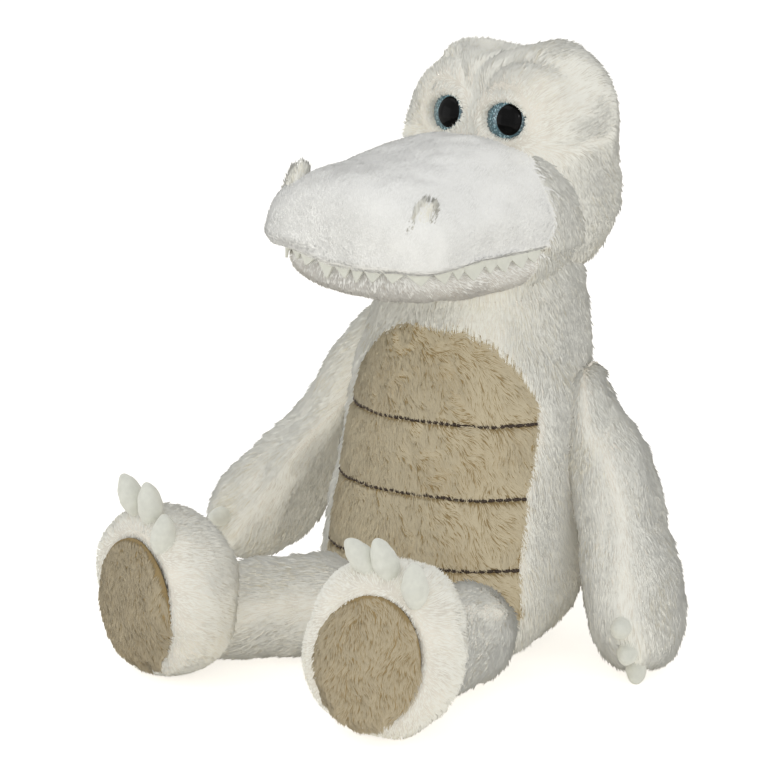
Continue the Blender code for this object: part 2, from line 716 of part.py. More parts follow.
def make_eye(name, side, head_frame, head_parts):
    """A domed eye on a shank through the skin, held behind it by a washer, with the pupil let in."""
    eye_frame = frame(
        "eye_frame_" + name,
        (side * EYE_SPACING, -EYE_REACH, EYE_HEIGHT),
        ((side * EYE_TURN, "Z"), (math.radians(90.0) - EYE_TILT, "X")),
        head_frame,
    )
    bow = (EYE_RADIUS**2 + EYE_DOME**2) / (2 * EYE_DOME)
    sweep = math.asin(EYE_RADIUS / bow)
    dome = [
        (bow * math.sin(sweep * step / 4), EYE_FLANGE + EYE_DOME - bow + bow * math.cos(sweep * step / 4))
        for step in range(5)
    ]
    profile = [*dome, (EYE_RADIUS, 0.0), (SHANK_RADIUS, 0.0), (SHANK_RADIUS, -SHANK_LENGTH)]
    iris = turned("eye_" + name, [*profile, (0.0, -SHANK_LENGTH)], eye_frame, BLUE_IRIS)
    floor_of_pocket = EYE_FLANGE + EYE_DOME - PUPIL_POCKET
    floor_of_pocket -= bow - math.sqrt(bow**2 - PUPIL_HALF_HEIGHT**2)
    high = EYE_FLANGE + EYE_DOME + OVERRUN / 4

    def oval(label, gap, low):
        outline = oval_outline(PUPIL_HALF_WIDTH + gap, PUPIL_HALF_HEIGHT + gap, 0.0, 16)
        made = prism(label, outline, low, high, eye_frame)
        made.data.transform(Matrix.Rotation(math.radians(90.0), 4, "X"))
        return made

    cut([iris], oval("pupil_pocket_" + name, SEAM_GAP, floor_of_pocket))
    pupil_bow = bow + PUPIL_PROUD
    pupil = ball("pupil_" + name, pupil_bow, eye_frame, BLACK_PUPIL, 32, 24)
    pupil.data.transform(Matrix.Translation((0.0, 0.0, EYE_FLANGE + EYE_DOME - bow)))
    boolean(pupil, oval("pupil_shape_" + name, 0.0, floor_of_pocket + SEAM_GAP), "INTERSECT")
    low, high_of_washer = -WASHER_DEPTH - WASHER_THICKNESS, -WASHER_DEPTH
    bore = SHANK_RADIUS + SEAM_GAP
    ring = [(bore, high_of_washer), (WASHER_RADIUS, high_of_washer), (WASHER_RADIUS, low), (bore, low)]
    turned("eye_washer_" + name, [*ring, ring[0]], eye_frame, WASHER_PLASTIC, 16)
    seat = EYE_RADIUS + SEAM_GAP
    way = SHANK_RADIUS + SEAM_GAP
    room = WASHER_RADIUS + SEAM_GAP
    end = -SHANK_LENGTH - SEAM_GAP
    steps = [
        (0.0, OVERRUN),
        (seat, OVERRUN),
        (seat, -SEAM_GAP),
        (way, -SEAM_GAP),
        (way, high_of_washer + SEAM_GAP),
        (room, high_of_washer + SEAM_GAP),
        (room, low - SEAM_GAP),
        (way, low - SEAM_GAP),
        (way, end),
        (0.0, end),
    ]
    cut(head_parts, turned("eye_way_" + name, steps, eye_frame, None, 16))
    return iris


def make_nostril(name, side, head_frame, snout_grown):
    mesh = soft_mesh("nostril_flap", NOSTRIL, SMALL_SIDES, SMALL_RINGS)
    turned_by = Matrix.Rotation(side * NOSTRIL_LEAN, 4, "Y") @ Matrix.Rotation(-NOSTRIL_LEAN, 4, "X")
    reach = SNOUT_REACH - NOSTRIL_SET_BACK
    at = (side * NOSTRIL_SPACING, HEAD_SET_BACK - reach, snout_top(NOSTRIL_SPACING, reach))
    mesh.transform(Matrix.Translation(at) @ turned_by)
    cut([place("nostril_flap_" + name, mesh, head_frame, WHITE_SHORT_PILE)], snout_grown)


def make_head(head_frame, socket):
    head = skin_and_filling(
        "head", head_frame, WHITE_FUR, head_mesh, HEAD_SIDES, HEAD_RINGS, HEAD_GAP
    )
    snout = skin_and_filling("snout", head_frame, WHITE_SHORT_PILE, snout_mesh, SNOUT_SIDES, SNOUT_RINGS)
    jaw = skin_and_filling("jaw", head_frame, WHITE_SHORT_PILE, jaw_mesh, JAW_SIDES, JAW_RINGS)
    head_grown = place("head_grown", head_mesh(HEAD_GAP, HEAD_SIDES, HEAD_RINGS), head_frame)
    snout_grown = place("snout_grown", snout_mesh(SEAM_GAP, SNOUT_SIDES, SNOUT_RINGS), head_frame)
    cut(snout, head_grown, socket)
    cut(jaw, head_grown, snout_grown, socket)
    cut(head, socket)
    teeth = make_teeth(head_frame)
    cut([teeth], head_grown, snout_grown)
    for name, side in SIDES.items():
        make_eye(name, side, head_frame, head)
        make_nostril(name, side, head_frame, snout_grown)


def make_arm(name, side, torso_parts, floor):
    upright = math.cos(ARM_OPENS_OUT[name]) * math.cos(ARM_FORWARD)
    height = (ARM_LENGTH - ARM_ABOVE_SHOULDER) * upright + HAND_CLEARANCES[name]
    seat = torso_side(SHOULDER_BACK, height) - SHOULDER_SEAT
    shoulder = (side * seat, lean_at(height) + SHOULDER_BACK, height)
    turns = ((side * ARM_OPEN_BACK, "Z"), (-side * ARM_OPENS_OUT[name], "Y"), (-ARM_FORWARD, "X"))
    arm_frame = frame("arm_frame_" + name, shoulder, turns)

    def curve_out(points):
        share = (points[:, 2] - ARM.bottom) / ARM.height
        points[:, 0] += ARM.half_width * eased(np.clip(share, 0, 1), ARM.shares, 3)
        points[:, 0] *= side
        return points

    def arm_mesh(grow, sides, rings):
        return soft_mesh("arm_form", grown(ARM, grow), sides, rings, curve_out)

    parts = skin_and_filling("arm_" + name, arm_frame, WHITE_FUR, arm_mesh, LIMB_SIDES, LIMB_RINGS)
    reach = SHOULDER_PATCH + OVERRUN
    inner = sorted((side * SEAM_GAP, -side * reach))
    cut(parts, box("arm_flat_" + name, (inner[0], -reach, -ARM_LENGTH), (inner[1], reach, reach), arm_frame))
    cut(parts, floor)
    outer = sorted((0.0, side * OVERRUN))
    patch = SHOULDER_PATCH
    seat_cut = box("shoulder_cut_" + name, (outer[0], -patch, -patch), (outer[1], patch, patch), arm_frame)
    cut(torso_parts, seat_cut)
    arm_grown = place("arm_grown_" + name, arm_mesh(SEAM_GAP, LIMB_SIDES, LIMB_RINGS), arm_frame)
    end_share = np.array([0.0])
    middle = side * ARM.half_width * float(eased(end_share, ARM.shares, 3)[0])
    for number in (1, 2, 3):
        angle = HAND_CLAW_TURN + (number - 2) * HAND_CLAW_FAN
        mesh = soft_mesh("hand_claw", HAND_CLAW, SMALL_SIDES, SMALL_RINGS)
        out = ARM.half_depth + HAND_CLAW_HALF_LENGTH - 2 * HAND_CLAW_EMBED
        turn = Matrix.Rotation(angle, 4, "X")
        heel = Matrix.Translation((middle, 0.0, ARM.bottom + ARM.half_depth))
        mesh.transform(heel @ turn @ Matrix.Translation((0.0, 0.0, -out)))
        claw = place(f"hand_claw_{name}_{number}", mesh, arm_frame, WHITE_FELT)
        cut([claw], arm_grown, floor)
    return arm_frame


def lay_forward(points):
    """A form built up Z laid along -Y, its depth turned upright."""
    return np.stack([points[:, 0], -points[:, 2], points[:, 1]], axis=1)


def foot_mesh(grow, sides, rings):
    return soft_mesh("foot_form", grown(FOOT, grow), sides, rings, lay_forward)


def lowest(mesh, turn):
    return min((turn @ vertex.co).z for vertex in mesh.vertices)


def make_leg(name, side, torso_parts, floor):
    hip = (side * HIP_OUT, -HIP_FORWARD, LEG_RADIUS - FLAT_DEPTH)
    leg_frame = frame("leg_frame_" + name, hip, ((side * LEG_SPLAYS[name], "Z"),))

    def leg_mesh(grow, sides, rings):
        return capsule_mesh("leg_form", LEG_RADIUS + grow, LEG_LENGTH, LEG_END_SHARE, sides, rings)

    leg = skin_and_filling("leg_" + name, leg_frame, WHITE_FUR, leg_mesh, LIMB_SIDES, LIMB_RINGS)
    socket = ball("hip_socket_" + name, LEG_RADIUS + RUNNING_GAP, leg_frame, None, LIMB_SIDES + 8, LIMB_RINGS + 6)
    cut(torso_parts, socket)

    roll = Matrix.Rotation(FOOT_ROLLS[name], 3, "Y")
    low = lowest(foot_mesh(0.0, FOOT_SIDES, FOOT_RINGS), roll)
    ankle = (0.0, -FOOT_START, -low - FLAT_DEPTH - hip[2])
    turns = ((FOOT_TURNS[name], "Z"), (FOOT_ROLLS[name], "Y"))
    foot_frame = frame("foot_frame_" + name, ankle, turns, leg_frame)
    foot = skin_and_filling("foot_" + name, foot_frame, WHITE_FUR, foot_mesh, FOOT_SIDES, FOOT_RINGS)
    foot_grown = place("foot_grown_" + name, foot_mesh(SEAM_GAP, FOOT_SIDES, FOOT_RINGS), foot_frame)
    cut(leg, foot_grown, floor)

    sole = place("foot_" + name + "_sole", foot_mesh(SOLE_PROUD, FOOT_SIDES, FOOT_RINGS), foot_frame, BEIGE_FUR)
    front = -FOOT_LENGTH - OVERRUN
    back = -FOOT_LENGTH / 2
    outline = oval_outline(SOLE_HALF_WIDTH, SOLE_HALF_HEIGHT, -SOLE_DROP)
    wider = oval_outline(SOLE_HALF_WIDTH + SEAM_GAP, SOLE_HALF_HEIGHT + SEAM_GAP, -SOLE_DROP)
    boolean(sole, bpy.data.objects["foot_" + name + "_hollow"])
    boolean(sole, prism("sole_shape_" + name, outline, front, back, foot_frame), "INTERSECT")
    cut([foot[0]], prism("sole_opening_" + name, wider, front, back, foot_frame), floor)
    for number in (1, 2, 3):
        angle = side * TOE_CLAW_TURN + (number - 2) * TOE_CLAW_FAN
        mesh = soft_mesh("toe_claw", TOE_CLAW, SMALL_SIDES, SMALL_RINGS)
        out = FOOT_HALF_HEIGHT + TOE_CLAW_HALF_LENGTH - 2 * TOE_CLAW_EMBED
        turn = Matrix.Rotation(angle, 4, "Y")
        along = TOE_CLAW_SET_BACK - FOOT_LENGTH
        mesh.transform(Matrix.Translation((0.0, along, 0.0)) @ turn @ Matrix.Translation((0.0, 0.0, out)))
        claw = place(f"toe_claw_{name}_{number}", mesh, foot_frame, WHITE_FELT)
        cut([claw], foot_grown)
    return leg_frame


def make_tail(torso_parts, floor):
    root = (0.0, TAIL_BACK, TAIL_RADIUS - FLAT_DEPTH)
    tail_frame = frame("tail_frame", root, ((math.radians(180.0), "Z"),))

    def tail_mesh(grow, sides, rings):
        return capsule_mesh("tail_form", TAIL_RADIUS + grow, TAIL_LENGTH, TAIL_END_SHARE, sides, rings)

    tail = skin_and_filling("tail", tail_frame, WHITE_FUR, tail_mesh, LIMB_SIDES, LIMB_RINGS)
    socket = ball("tail_socket", TAIL_RADIUS + RUNNING_GAP, tail_frame, None, LIMB_SIDES + 8, LIMB_RINGS + 6)
    cut(torso_parts, socket)
    opening = oval_outline(TAIL_OPENING_RADIUS, TAIL_OPENING_RADIUS, 0.0)
    cut([tail[0]], prism("tail_opening", opening, 0.0, TAIL_RADIUS + OVERRUN, tail_frame))
    cut(tail, floor)
    return tail_frame


def main():
    floor = box("floor", (-1.0, -1.0, -OVERRUN), (1.0, 1.0, 0.0))
    torso = make_torso(floor)
    neck_frame = frame("neck_frame", (0.0, lean_at(NECK_HEIGHT), NECK_HEIGHT))
    socket = ball("neck_socket", NECK_RADIUS + RUNNING_GAP, neck_frame, None, 30, 20)
    cut(torso, socket)
    make_neck(neck_frame)
    head_frame = frame("head_frame", neck_frame.location, ((HEAD_TURN, "Z"),))
    make_head(head_frame, socket)
    for name, side in SIDES.items():
        make_arm(name, side, torso[:2], floor)
        make_leg(name, side, torso, floor)
    make_tail(torso[:3], floor)


clear_scene()
plush = collection("plush_crocodile")
cutters = collection("cutters")
main()
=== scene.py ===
# A seated plush crocodile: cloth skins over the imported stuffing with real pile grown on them,
# felt teeth and claws, glitter eyes and sewn belly lines. The world frame is the part's: +Z up,
# the origin on the floor under the seat, facing -Y. Every length is in metres.
import math
from collections import namedtuple

import bpy
import numpy as np
from mathutils import Matrix, Vector


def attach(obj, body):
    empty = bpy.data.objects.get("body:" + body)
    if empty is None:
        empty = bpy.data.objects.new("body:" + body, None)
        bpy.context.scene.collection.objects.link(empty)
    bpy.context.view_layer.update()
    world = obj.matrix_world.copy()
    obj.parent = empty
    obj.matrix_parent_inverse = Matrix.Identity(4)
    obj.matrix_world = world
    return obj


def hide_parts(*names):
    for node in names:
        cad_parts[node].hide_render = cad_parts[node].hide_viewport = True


bl_info = {
    "name": "Plush crocodile dresser",
    "version": (1, 0, 0),
    "blender": (4, 5, 0),
    "location": "View3D > Sidebar > Plush crocodile",
    "description": "Dresses the packed plush crocodile with cloth, pile, felt and glitter eyes",
    "category": "Object",
}

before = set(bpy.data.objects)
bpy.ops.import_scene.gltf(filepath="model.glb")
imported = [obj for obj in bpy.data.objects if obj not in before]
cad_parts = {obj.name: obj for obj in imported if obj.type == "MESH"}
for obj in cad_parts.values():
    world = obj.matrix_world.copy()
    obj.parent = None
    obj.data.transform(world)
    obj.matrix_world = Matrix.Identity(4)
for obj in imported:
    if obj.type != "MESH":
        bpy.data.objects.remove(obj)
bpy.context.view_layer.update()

# Sizes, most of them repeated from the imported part, by region.

# Torso
LEAN = math.radians(12.0)
NECK_HEIGHT = 0.190
NECK_RADIUS = 0.052
TORSO_CLOTH_TOP = 0.188

# Belly panel and its sewn lines
PANEL_BOTTOM = 0.021
PANEL_BOTTOM_HALF_WIDTH = 0.060
PANEL_SHOULDER = 0.122
PANEL_SHOULDER_HALF_WIDTH = 0.057
PANEL_TOP = 0.177
PANEL_CORNER = 0.010
STITCH_HEIGHTS = {"lower": 0.053, "middle": 0.089, "upper": 0.126}

# Head, snout and jaw
HEAD_TURN = math.radians(-11.0)
HEAD_SET_BACK = 0.022
LOBE_HEIGHT = 0.012
LOBE_SPACING = 0.033
LOBE_SPREAD = 0.020
LOBE_LENGTH = 0.045
EYE_DENT = 0.008
EYE_DENT_SPREAD = 0.016
MOUTH_HEIGHT = 0.030
SNOUT_SAG = 0.004
JAW_FLAT = 0.002
SEAM_GAP = 0.0003
TOOTH_DROP = 0.0125
TOOTH_BAND = 0.0045
TOOTH_CLEARANCE = 0.0004
FELT_THICKNESS = 0.0015
TOOTH_COUNT = 23
TEETH_START_SHARE = 0.355
NOSTRIL_HALF_WIDTH = 0.0046
NOSTRIL_HALF_DEPTH = 0.0044
NOSTRIL_LENGTH = 0.023
NOSTRIL_MIDDLES = {"left": (0.045, -0.128, 0.0205), "right": (0.042, -0.125, 0.0285)}

# Eyes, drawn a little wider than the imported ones, because the lids hide their edge
EYE_SPACING = 0.0195
EYE_HEIGHT = 0.088
EYE_REACH = 0.0050
EYE_RADIUS = 0.0128
EYE_DOME = 0.0046
EYE_FLANGE = 0.0012
LOOK_ASIDE = 0.0030
LID_HALF_WIDTH = 0.0126
LID_HALF_HEIGHT = 0.0092
EYE_TURN = math.radians(9.0)
EYE_TILT = math.radians(10.0)
PUPIL_HALF_WIDTH = 0.0070
PUPIL_HALF_HEIGHT = 0.0083
BROW_SPACING = 0.027
BROW_HEIGHT = 0.094

# Arms and legs
HAND_CLEARANCES = {"left": -0.0012, "right": 0.0166}
SHOULDER_BACK = 0.020
SHOULDER_SEAT = 0.0025
ARM_OPENS_OUT = {"left": math.radians(12.0), "right": math.radians(22.0)}
ARM_OPEN_BACK = math.radians(10.0)
ARM_FORWARD = math.radians(25.0)
ARM_ABOVE_SHOULDER = 0.022
ARM_LENGTH = 0.170
HIP_OUT = 0.043
HIP_FORWARD = 0.056
LEG_RADIUS = 0.0260
LEG_SPLAYS = {"left": math.radians(-1.0), "right": math.radians(50.0)}
FOOT_TURNS = {"left": math.radians(18.0), "right": math.radians(35.0)}
FOOT_ROLLS = {"left": math.radians(12.0), "right": math.radians(-4.0)}
LEG_LENGTH = 0.074
LEG_END_SHARE = 0.93
FOOT_START = 0.060
SOLE_HALF_WIDTH = 0.0265
SOLE_HALF_HEIGHT = 0.0345
SOLE_DROP = 0.003
SOLE_SHIFTS = {"left": 0.0080, "right": 0.0}
TAIL_BACK = 0.076
TAIL_RADIUS = 0.025
TAIL_LENGTH = 0.082
TAIL_END_SHARE = 0.50
# How far the soft undersides reach under the floor's plane before they are flat
FLAT_DEPTH = 0.0005

# Claws
TOE_CLAW_FAN = math.radians(19.5)
TOE_CLAW_TURN = math.radians(-13.0)
TOE_CLAW_SET_BACK = 0.014
TOE_CLAW_LEAN = math.radians(-20.0)
TOE_CLAW_EMBED = 0.0035
TOE_CLAW_SHIFTS = {
    "left": ((0.004, 0.004, 0.002), (0.000, 0.001, -0.002), (0.001, -0.006, -0.009)),
    "right": ((-0.004, 0.002, 0.001), (-0.005, 0.001, -0.001), (-0.007, -0.003, -0.008)),
}
HAND_CLAW_FAN = math.radians(25.0)
HAND_CLAW_EMBED = 0.004
HAND_CLAW_TURN = math.radians(-42.0)

# How far each arm's outer side is drawn in at its top and at its middle
ARM_DRAWN_IN = {"left": (0.0120, 0.0025), "right": (-0.0050, 0.0075)}

SIDES = {"left": 1, "right": -1}

# How a hair is drawn: its lean at its middle and at its tip as shares of the pile's lean, the
# limits of both, and how much of its tuft's pull its middle and a wider tuft take
MIDDLE_LEAN, TIP_LEAN = 0.72, 1.25
MIDDLE_LEAN_LIMIT, TIP_LEAN_LIMIT = 1.45, 1.55
MIDDLE_PULL, WIDE_TUFT_PULL, WIDE_TUFT = 0.35, 0.22, 2.7
SHORTEST_SHARE = 0.02
FLOOR_CLEARANCE = 0.0003

# Scales of the textures, in repeats in a metre. The knit's loops are 1.1 mm apart, and the
# felt's fibres are drawn about 0.7 mm apart, coarser than real ones, so that they show.
KNIT_ROWS = 1.0 / 0.0011
FELT_FIBRES = 1400.0
FELT_MOTTLE = 260.0
THREAD_TWISTS = 320.0
PLASTIC_GRAIN = 900.0
POLISH_HAZE = 300.0
# Flakes across the width of an iris
FLAKES_ACROSS = 46.0
CLOTH_CLOUDS = 60.0

# A soft form: half its width and depth, its bottom and height, a table of how its width and
# depth (and an arm's bow outwards) change at shares of its height, and the powers of its
# profile and of its sections
Form = namedtuple("Form", "half_width half_depth bottom height shares profile section")
TORSO_TABLE = (
    (0.00, 1.03, 1.03), (0.20, 0.99, 0.99), (0.35, 0.95, 0.96), (0.53, 0.89, 0.92),
    (0.70, 0.80, 0.88), (0.82, 0.75, 0.85), (1.00, 0.72, 0.82),
)
HEAD_TABLE = ((0.00, 1.00, 1.00), (0.30, 1.04, 1.03), (0.70, 0.96, 1.00), (1.00, 0.98, 0.96))
SNOUT_TABLE = (
    (0.00, 0.97, 1.00), (0.33, 1.00, 1.00), (0.60, 1.00, 0.94), (0.80, 0.99, 0.86),
    (1.00, 0.97, 0.76),
)
JAW_TABLE = ((0.00, 1.00, 0.80), (0.45, 1.00, 1.00), (0.75, 0.97, 0.85), (1.00, 0.94, 0.60))
ARM_TABLE = (
    (0.00, 1.08, 1.24, 0.95), (0.30, 1.04, 1.18, 0.82), (0.55, 0.88, 0.94, 0.66),
    (0.80, 0.74, 0.74, 0.45), (1.00, 0.70, 0.70, 0.22),
)
FOOT_TABLE = ((0.00, 0.78, 0.76), (0.35, 0.93, 0.93), (0.70, 1.00, 1.00), (1.00, 0.96, 0.96))
TAPERED = ((0.0, 1.0, 1.0), (0.5, 1.02, 1.02), (0.8, 0.88, 0.88), (1.0, 0.70, 0.70))
TORSO = Form(0.072, 0.063, -FLAT_DEPTH, 0.225, TORSO_TABLE, profile=4.5, section=2.5)
HEAD = Form(0.060, 0.042, 0.003, 0.115, HEAD_TABLE, profile=3.2, section=2.8)
SNOUT = Form(0.063, 0.050, 0.0, 0.141, SNOUT_TABLE, profile=5.0, section=2.4)
JAW = Form(0.056, 0.032, 0.0, 0.133, JAW_TABLE, profile=4.0, section=2.2)
ARM_BOTTOM = ARM_ABOVE_SHOULDER - ARM_LENGTH
ARM = Form(0.025, 0.030, ARM_BOTTOM, ARM_LENGTH, ARM_TABLE, profile=3.4, section=2.2)
FOOT = Form(0.041, 0.046, 0.0, 0.058, FOOT_TABLE, profile=3.4, section=2.3)
TOE_CLAW = Form(0.0064, 0.0064, -0.010, 0.0235, TAPERED, profile=2.1, section=2.0)
HAND_CLAW = Form(0.0052, 0.0052, -0.010, 0.0215, TAPERED, profile=2.2, section=2.0)


def linear(code):
    """An sRGB hex colour as linear red, green and blue."""
    shades = [int(code[i : i + 2], 16) / 255 for i in (1, 3, 5)]
    return tuple(s / 12.92 if s <= 0.04045 else ((s + 0.055) / 1.055) ** 2.4 for s in shades)


# settings


def colour(name, description, code):
    return bpy.props.FloatVectorProperty(
        name=name,
        description=description,
        default=linear(code),
        subtype="COLOR",
        size=3,
        min=0,
        max=1,
    )


def place(name, description, default):
    return bpy.props.FloatVectorProperty(
        name=name, description=description, default=default, size=3, unit="LENGTH", subtype="XYZ"
    )


def number(name, description, default, least=0.0, unit="NONE"):
    return bpy.props.FloatProperty(
        name=name, description=description, default=default, min=least, unit=unit
    )


def length(name, description, default):
    return number(name, description, default, unit="LENGTH")


class PileSettings(bpy.types.PropertyGroup):
    """Lengths and spacings of the piles."""

    fur_length: length("Fur length", "Length of one hair of the white fur", 0.0084)
    belly_length: length("Belly fur length", "Length of one hair of the belly and soles", 0.0075)
    short_length: length("Short pile length", "Length of one hair of the snout and jaw", 0.0024)
    fur_spacing: length("Fur spacing", "Mean distance between its roots", 0.00088)
    belly_spacing: length("Belly fur spacing", "Mean distance between its roots", 0.00070)
    short_spacing: length("Short pile spacing", "Mean distance between its roots", 0.00074)
    hair_width: length("Hair width", "Width of one drawn hair, a few real ones together", 0.00040)
    tuft_size: length("Tuft size", "Width of the tufts into which the fur gathers", 0.0034)
    fur_depth: length("Fur depth", "How far the cloth lies under the fur's surface", 0.0027)
    short_depth: length("Short pile depth", "How far the cloth lies under its surface", 0.0008)


class ColourSettings(bpy.types.PropertyGroup):
    """Colours of the cloths, felts and eyes."""

    white_tip: colour("White fur tips", "Outer ends of the white fur", "#F2F2EA")
    # Painted shade: each pile's root colour is darker than its tip, in place of the shade between
    # hairs, which cast no shadow.
    white_root_shade: colour("White fur roots", "Roots of the white fur", "#F0ECDE")
    # Painted shade: the white backing is darker than the fur's tips, for the shade down between the
    # tufts.
    white_cloth_shade: colour("White backing", "Knitted backing of the white fur", "#E7E2D6")
    short_tip: colour("Short pile tips", "Outer ends of the snout's pile", "#F8F8F5")
    # Painted shade: the short pile's roots are darker than its tips; its backing is painted in this
    # shaded root colour too.
    short_root_shade: colour("Short pile roots", "Roots of the snout's pile", "#F2F2EE")
    # Painted shade: the jaw's pile is darker and pinker than the snout's; the darkness is painted
    # shade under the snout, the pink tint the pile's own.
    jaw_tip_shade: colour("Jaw pile tips", "Outer ends of the jaw's pile", "#DEDCD6")
    jaw_root_shade: colour("Jaw pile roots", "Roots of the jaw's pile", "#CCC8C0")
    # Painted shade: the soles' fur is a darker copy of the belly's beige fur, for the shade on the
    # soles, which face down away from the light.
    sole_tip_shade: colour("Sole tips", "Outer ends of the soles' fur", "#C1B59B")
    sole_root_shade: colour("Sole roots", "Roots of the soles' fur", "#86744F")
    beige_tip: colour("Beige fur tips", "Outer ends of the belly's fur", "#D0C5AA")
    # Painted shade: the belly fur's roots are darker than its tips, in place of the shade between
    # hairs.
    beige_root_shade: colour("Beige fur roots", "Roots of the belly's fur", "#A3906A")
    # Painted shade: the beige backing is darker than the belly fur, for the shade down between the
    # tufts.
    beige_cloth: colour("Beige backing", "Knitted backing of the beige fur", "#9A8660")
    felt: colour("Felt", "Teeth and claws", "#DEDFD5")
    thread: colour("Thread", "Embroidery thread of the belly lines", "#3A2C20")
    iris: colour("Iris", "Body colour of the glitter iris", "#3F6470")
    iris_rim: colour("Iris rim", "Dark rim of the iris", "#26404B")
    # Painted glints: the flakes' own pale blue, brightened to stand for the light they catch.
    glitter: colour("Glitter", "Bright flakes in the iris", "#A9CDD6")
    pupil: colour("Pupil", "Gloss black pupil", "#030303")
    plastic: colour("Washer plastic", "Polyethylene washers behind the eyes", "#DAD9D4")


class StageSettings(bpy.types.PropertyGroup):
    """Camera, lamps and floor."""

    lens: number("Lens", "Focal length of the camera", 139.69, 1.0, "CAMERA")
    camera_at: place("Camera at", "Place of the camera", (0.7351, -1.3402, 0.5348))
    camera_aim: place("Camera aim", "Point in the middle of the view", (-0.0394, 0.0013, 0.1342))
    floor_bounce: number("Floor bounce", "Share of the floor's glow that lights the toy", 0.42)
    world_light: number("World light", "Strength of the even light", 0.70)
    key_power: number("Key lamp", "Power of the large lamp in front", 6.3, unit="POWER")
    floor_colour: colour("Floor", "Matt pale floor", "#F4F1EA")


# frames and forms


def turned(angle, axis):
    """The matrix of a turn about an axis."""
    return np.array(Matrix.Rotation(angle, 3, axis))


class Place:
    """A frame: where its origin is and how it is turned."""

    def __init__(self, at=(0.0, 0.0, 0.0), turn=None):
        self.at = np.array(at, float)
        self.turn = np.identity(3) if turn is None else turn

    def out(self, points):
        return points @ self.turn.T + self.at

    def into(self, points):
        return (points - self.at) @ self.turn

    def way(self, vectors):
        return vectors @ self.turn.T

    def then(self, at, turn):
        return Place(self.out(np.array(at, float)), self.turn @ turn)


def bell(off, width):
    """1 where off is 0, falling away on both sides: e to the minus of off by width, squared."""
    return np.exp(-((off / width) ** 2))


def eased(share, table, column):
    """The table's column at a share of the height, on one smooth curve through its rows: each
    stretch is a cubic whose slopes at its ends come from the neighbouring rows."""
    rows = np.array(table)
    knots = rows[:, 0]
    values = rows[:, column]
    slopes = np.gradient(values, knots)
    row = np.clip(np.searchsorted(knots, share) - 1, 0, len(knots) - 2)
    step = knots[row + 1] - knots[row]
    s = (share - knots[row]) / step
    return (
        values[row] * (1 + 2 * s) * (1 - s) ** 2
        + slopes[row] * step * s * (1 - s) ** 2
        + values[row + 1] * s * s * (3 - 2 * s)
        - slopes[row + 1] * step * s * s * (1 - s)
    )


def girth_at(form, share):
    """How much of its full section a form has at a share of its height: one less the distance
    from the middle, raised to the profile's power, and the same root of that."""
    along = np.abs(2 * share - 1)
    return np.clip(1 - along**form.profile, 0, 1) ** (1 / form.profile)


def grown(form, by):
    """A form made larger by the same amount on every side."""
    return form._replace(
        half_width=form.half_width + by,
        half_depth=form.half_depth + by,
        bottom=form.bottom - by,
        height=form.height + 2 * by,
    )


def form_points(form, turn, climb):
    """Points of a soft form. Climb runs from -1 at its bottom to 1 at its top and turn runs round
    it. Each section is a superellipse: the cosine and sine of the turn to the power two over the
    section's, times half the width and depth there."""
    along = np.sign(climb) * (1 - (1 - np.abs(climb)) ** 1.8)
    share = (along + 1) / 2
    girth = girth_at(form, share)
    across = np.sign(np.cos(turn)) * np.abs(np.cos(turn)) ** (2 / form.section)
    deep = np.sign(np.sin(turn)) * np.abs(np.sin(turn)) ** (2 / form.section)
    return np.stack(
        [
            form.half_width * eased(share, form.shares, 1) * girth * across,
            form.half_depth * eased(share, form.shares, 2) * girth * deep,
            form.bottom + form.height * share,
        ],
        axis=-1,
    )


def form_holds(form, points):
    """Which points lie inside a soft form."""
    share = (points[..., 2] - form.bottom) / form.height
    safe = np.clip(share, 0.001, 0.999)
    girth = girth_at(form, safe)
    wide = form.half_width * eased(safe, form.shares, 1) * girth
    deep = form.half_depth * eased(safe, form.shares, 2) * girth
    reach = np.abs(points[..., 0] / wide) ** form.section
    reach += np.abs(points[..., 1] / deep) ** form.section
    return (share > 0) & (share < 1) & (reach < 1)


def climb_at(form, height):
    """The climb at which a soft form reaches a height."""
    along = 2 * (height - form.bottom) / form.height - 1
    return math.copysign(1 - (1 - abs(along)) ** (1 / 1.8), along)


def climbs_of(form, rows):
    """Climbs at even steps along a form's profile from pole to pole. The profile's angle runs
    from its middle to its end, crowded towards the end, where the flat cap needs its rows."""
    angle = (1 - (1 - np.linspace(0, 1, 4000)) ** 4) * math.pi / 2
    along = np.sin(angle) ** (2 / form.profile)
    girth = np.cos(angle) ** (2 / form.profile)
    walked = np.cumsum(np.hypot(np.diff(along) * form.height / 2, np.diff(girth) * form.half_width))
    stops = np.linspace(0, walked[-1], rows // 2)
    stops[-1] = 0.995 * walked[-1]
    climb = 1 - (1 - np.interp(stops, np.append(0.0, walked), along)) ** (1 / 1.8)
    return np.concatenate([-climb[:0:-1], climb])


class Bag:
    """A stuffed bag: its frame, its shape as a function of turn and climb, and what it holds."""

    place = Place()
    form = None

    def world(self, grow, turn, climb):
        return self.place.out(self.shape(grow, turn, climb))

    def holds(self, points, grow=0.0):
        return self.covers(self.place.into(points), grow)


class Torso(Bag):
    form = TORSO

    def shape(self, grow, turn, climb):
        points = form_points(grown(TORSO, grow), turn, climb)
        points[..., 1] += points[..., 2] * math.tan(LEAN)
        return points

    def covers(self, points, grow):
        upright = points.copy()
        upright[..., 1] -= upright[..., 2] * math.tan(LEAN)
        return form_holds(grown(TORSO, grow), upright)


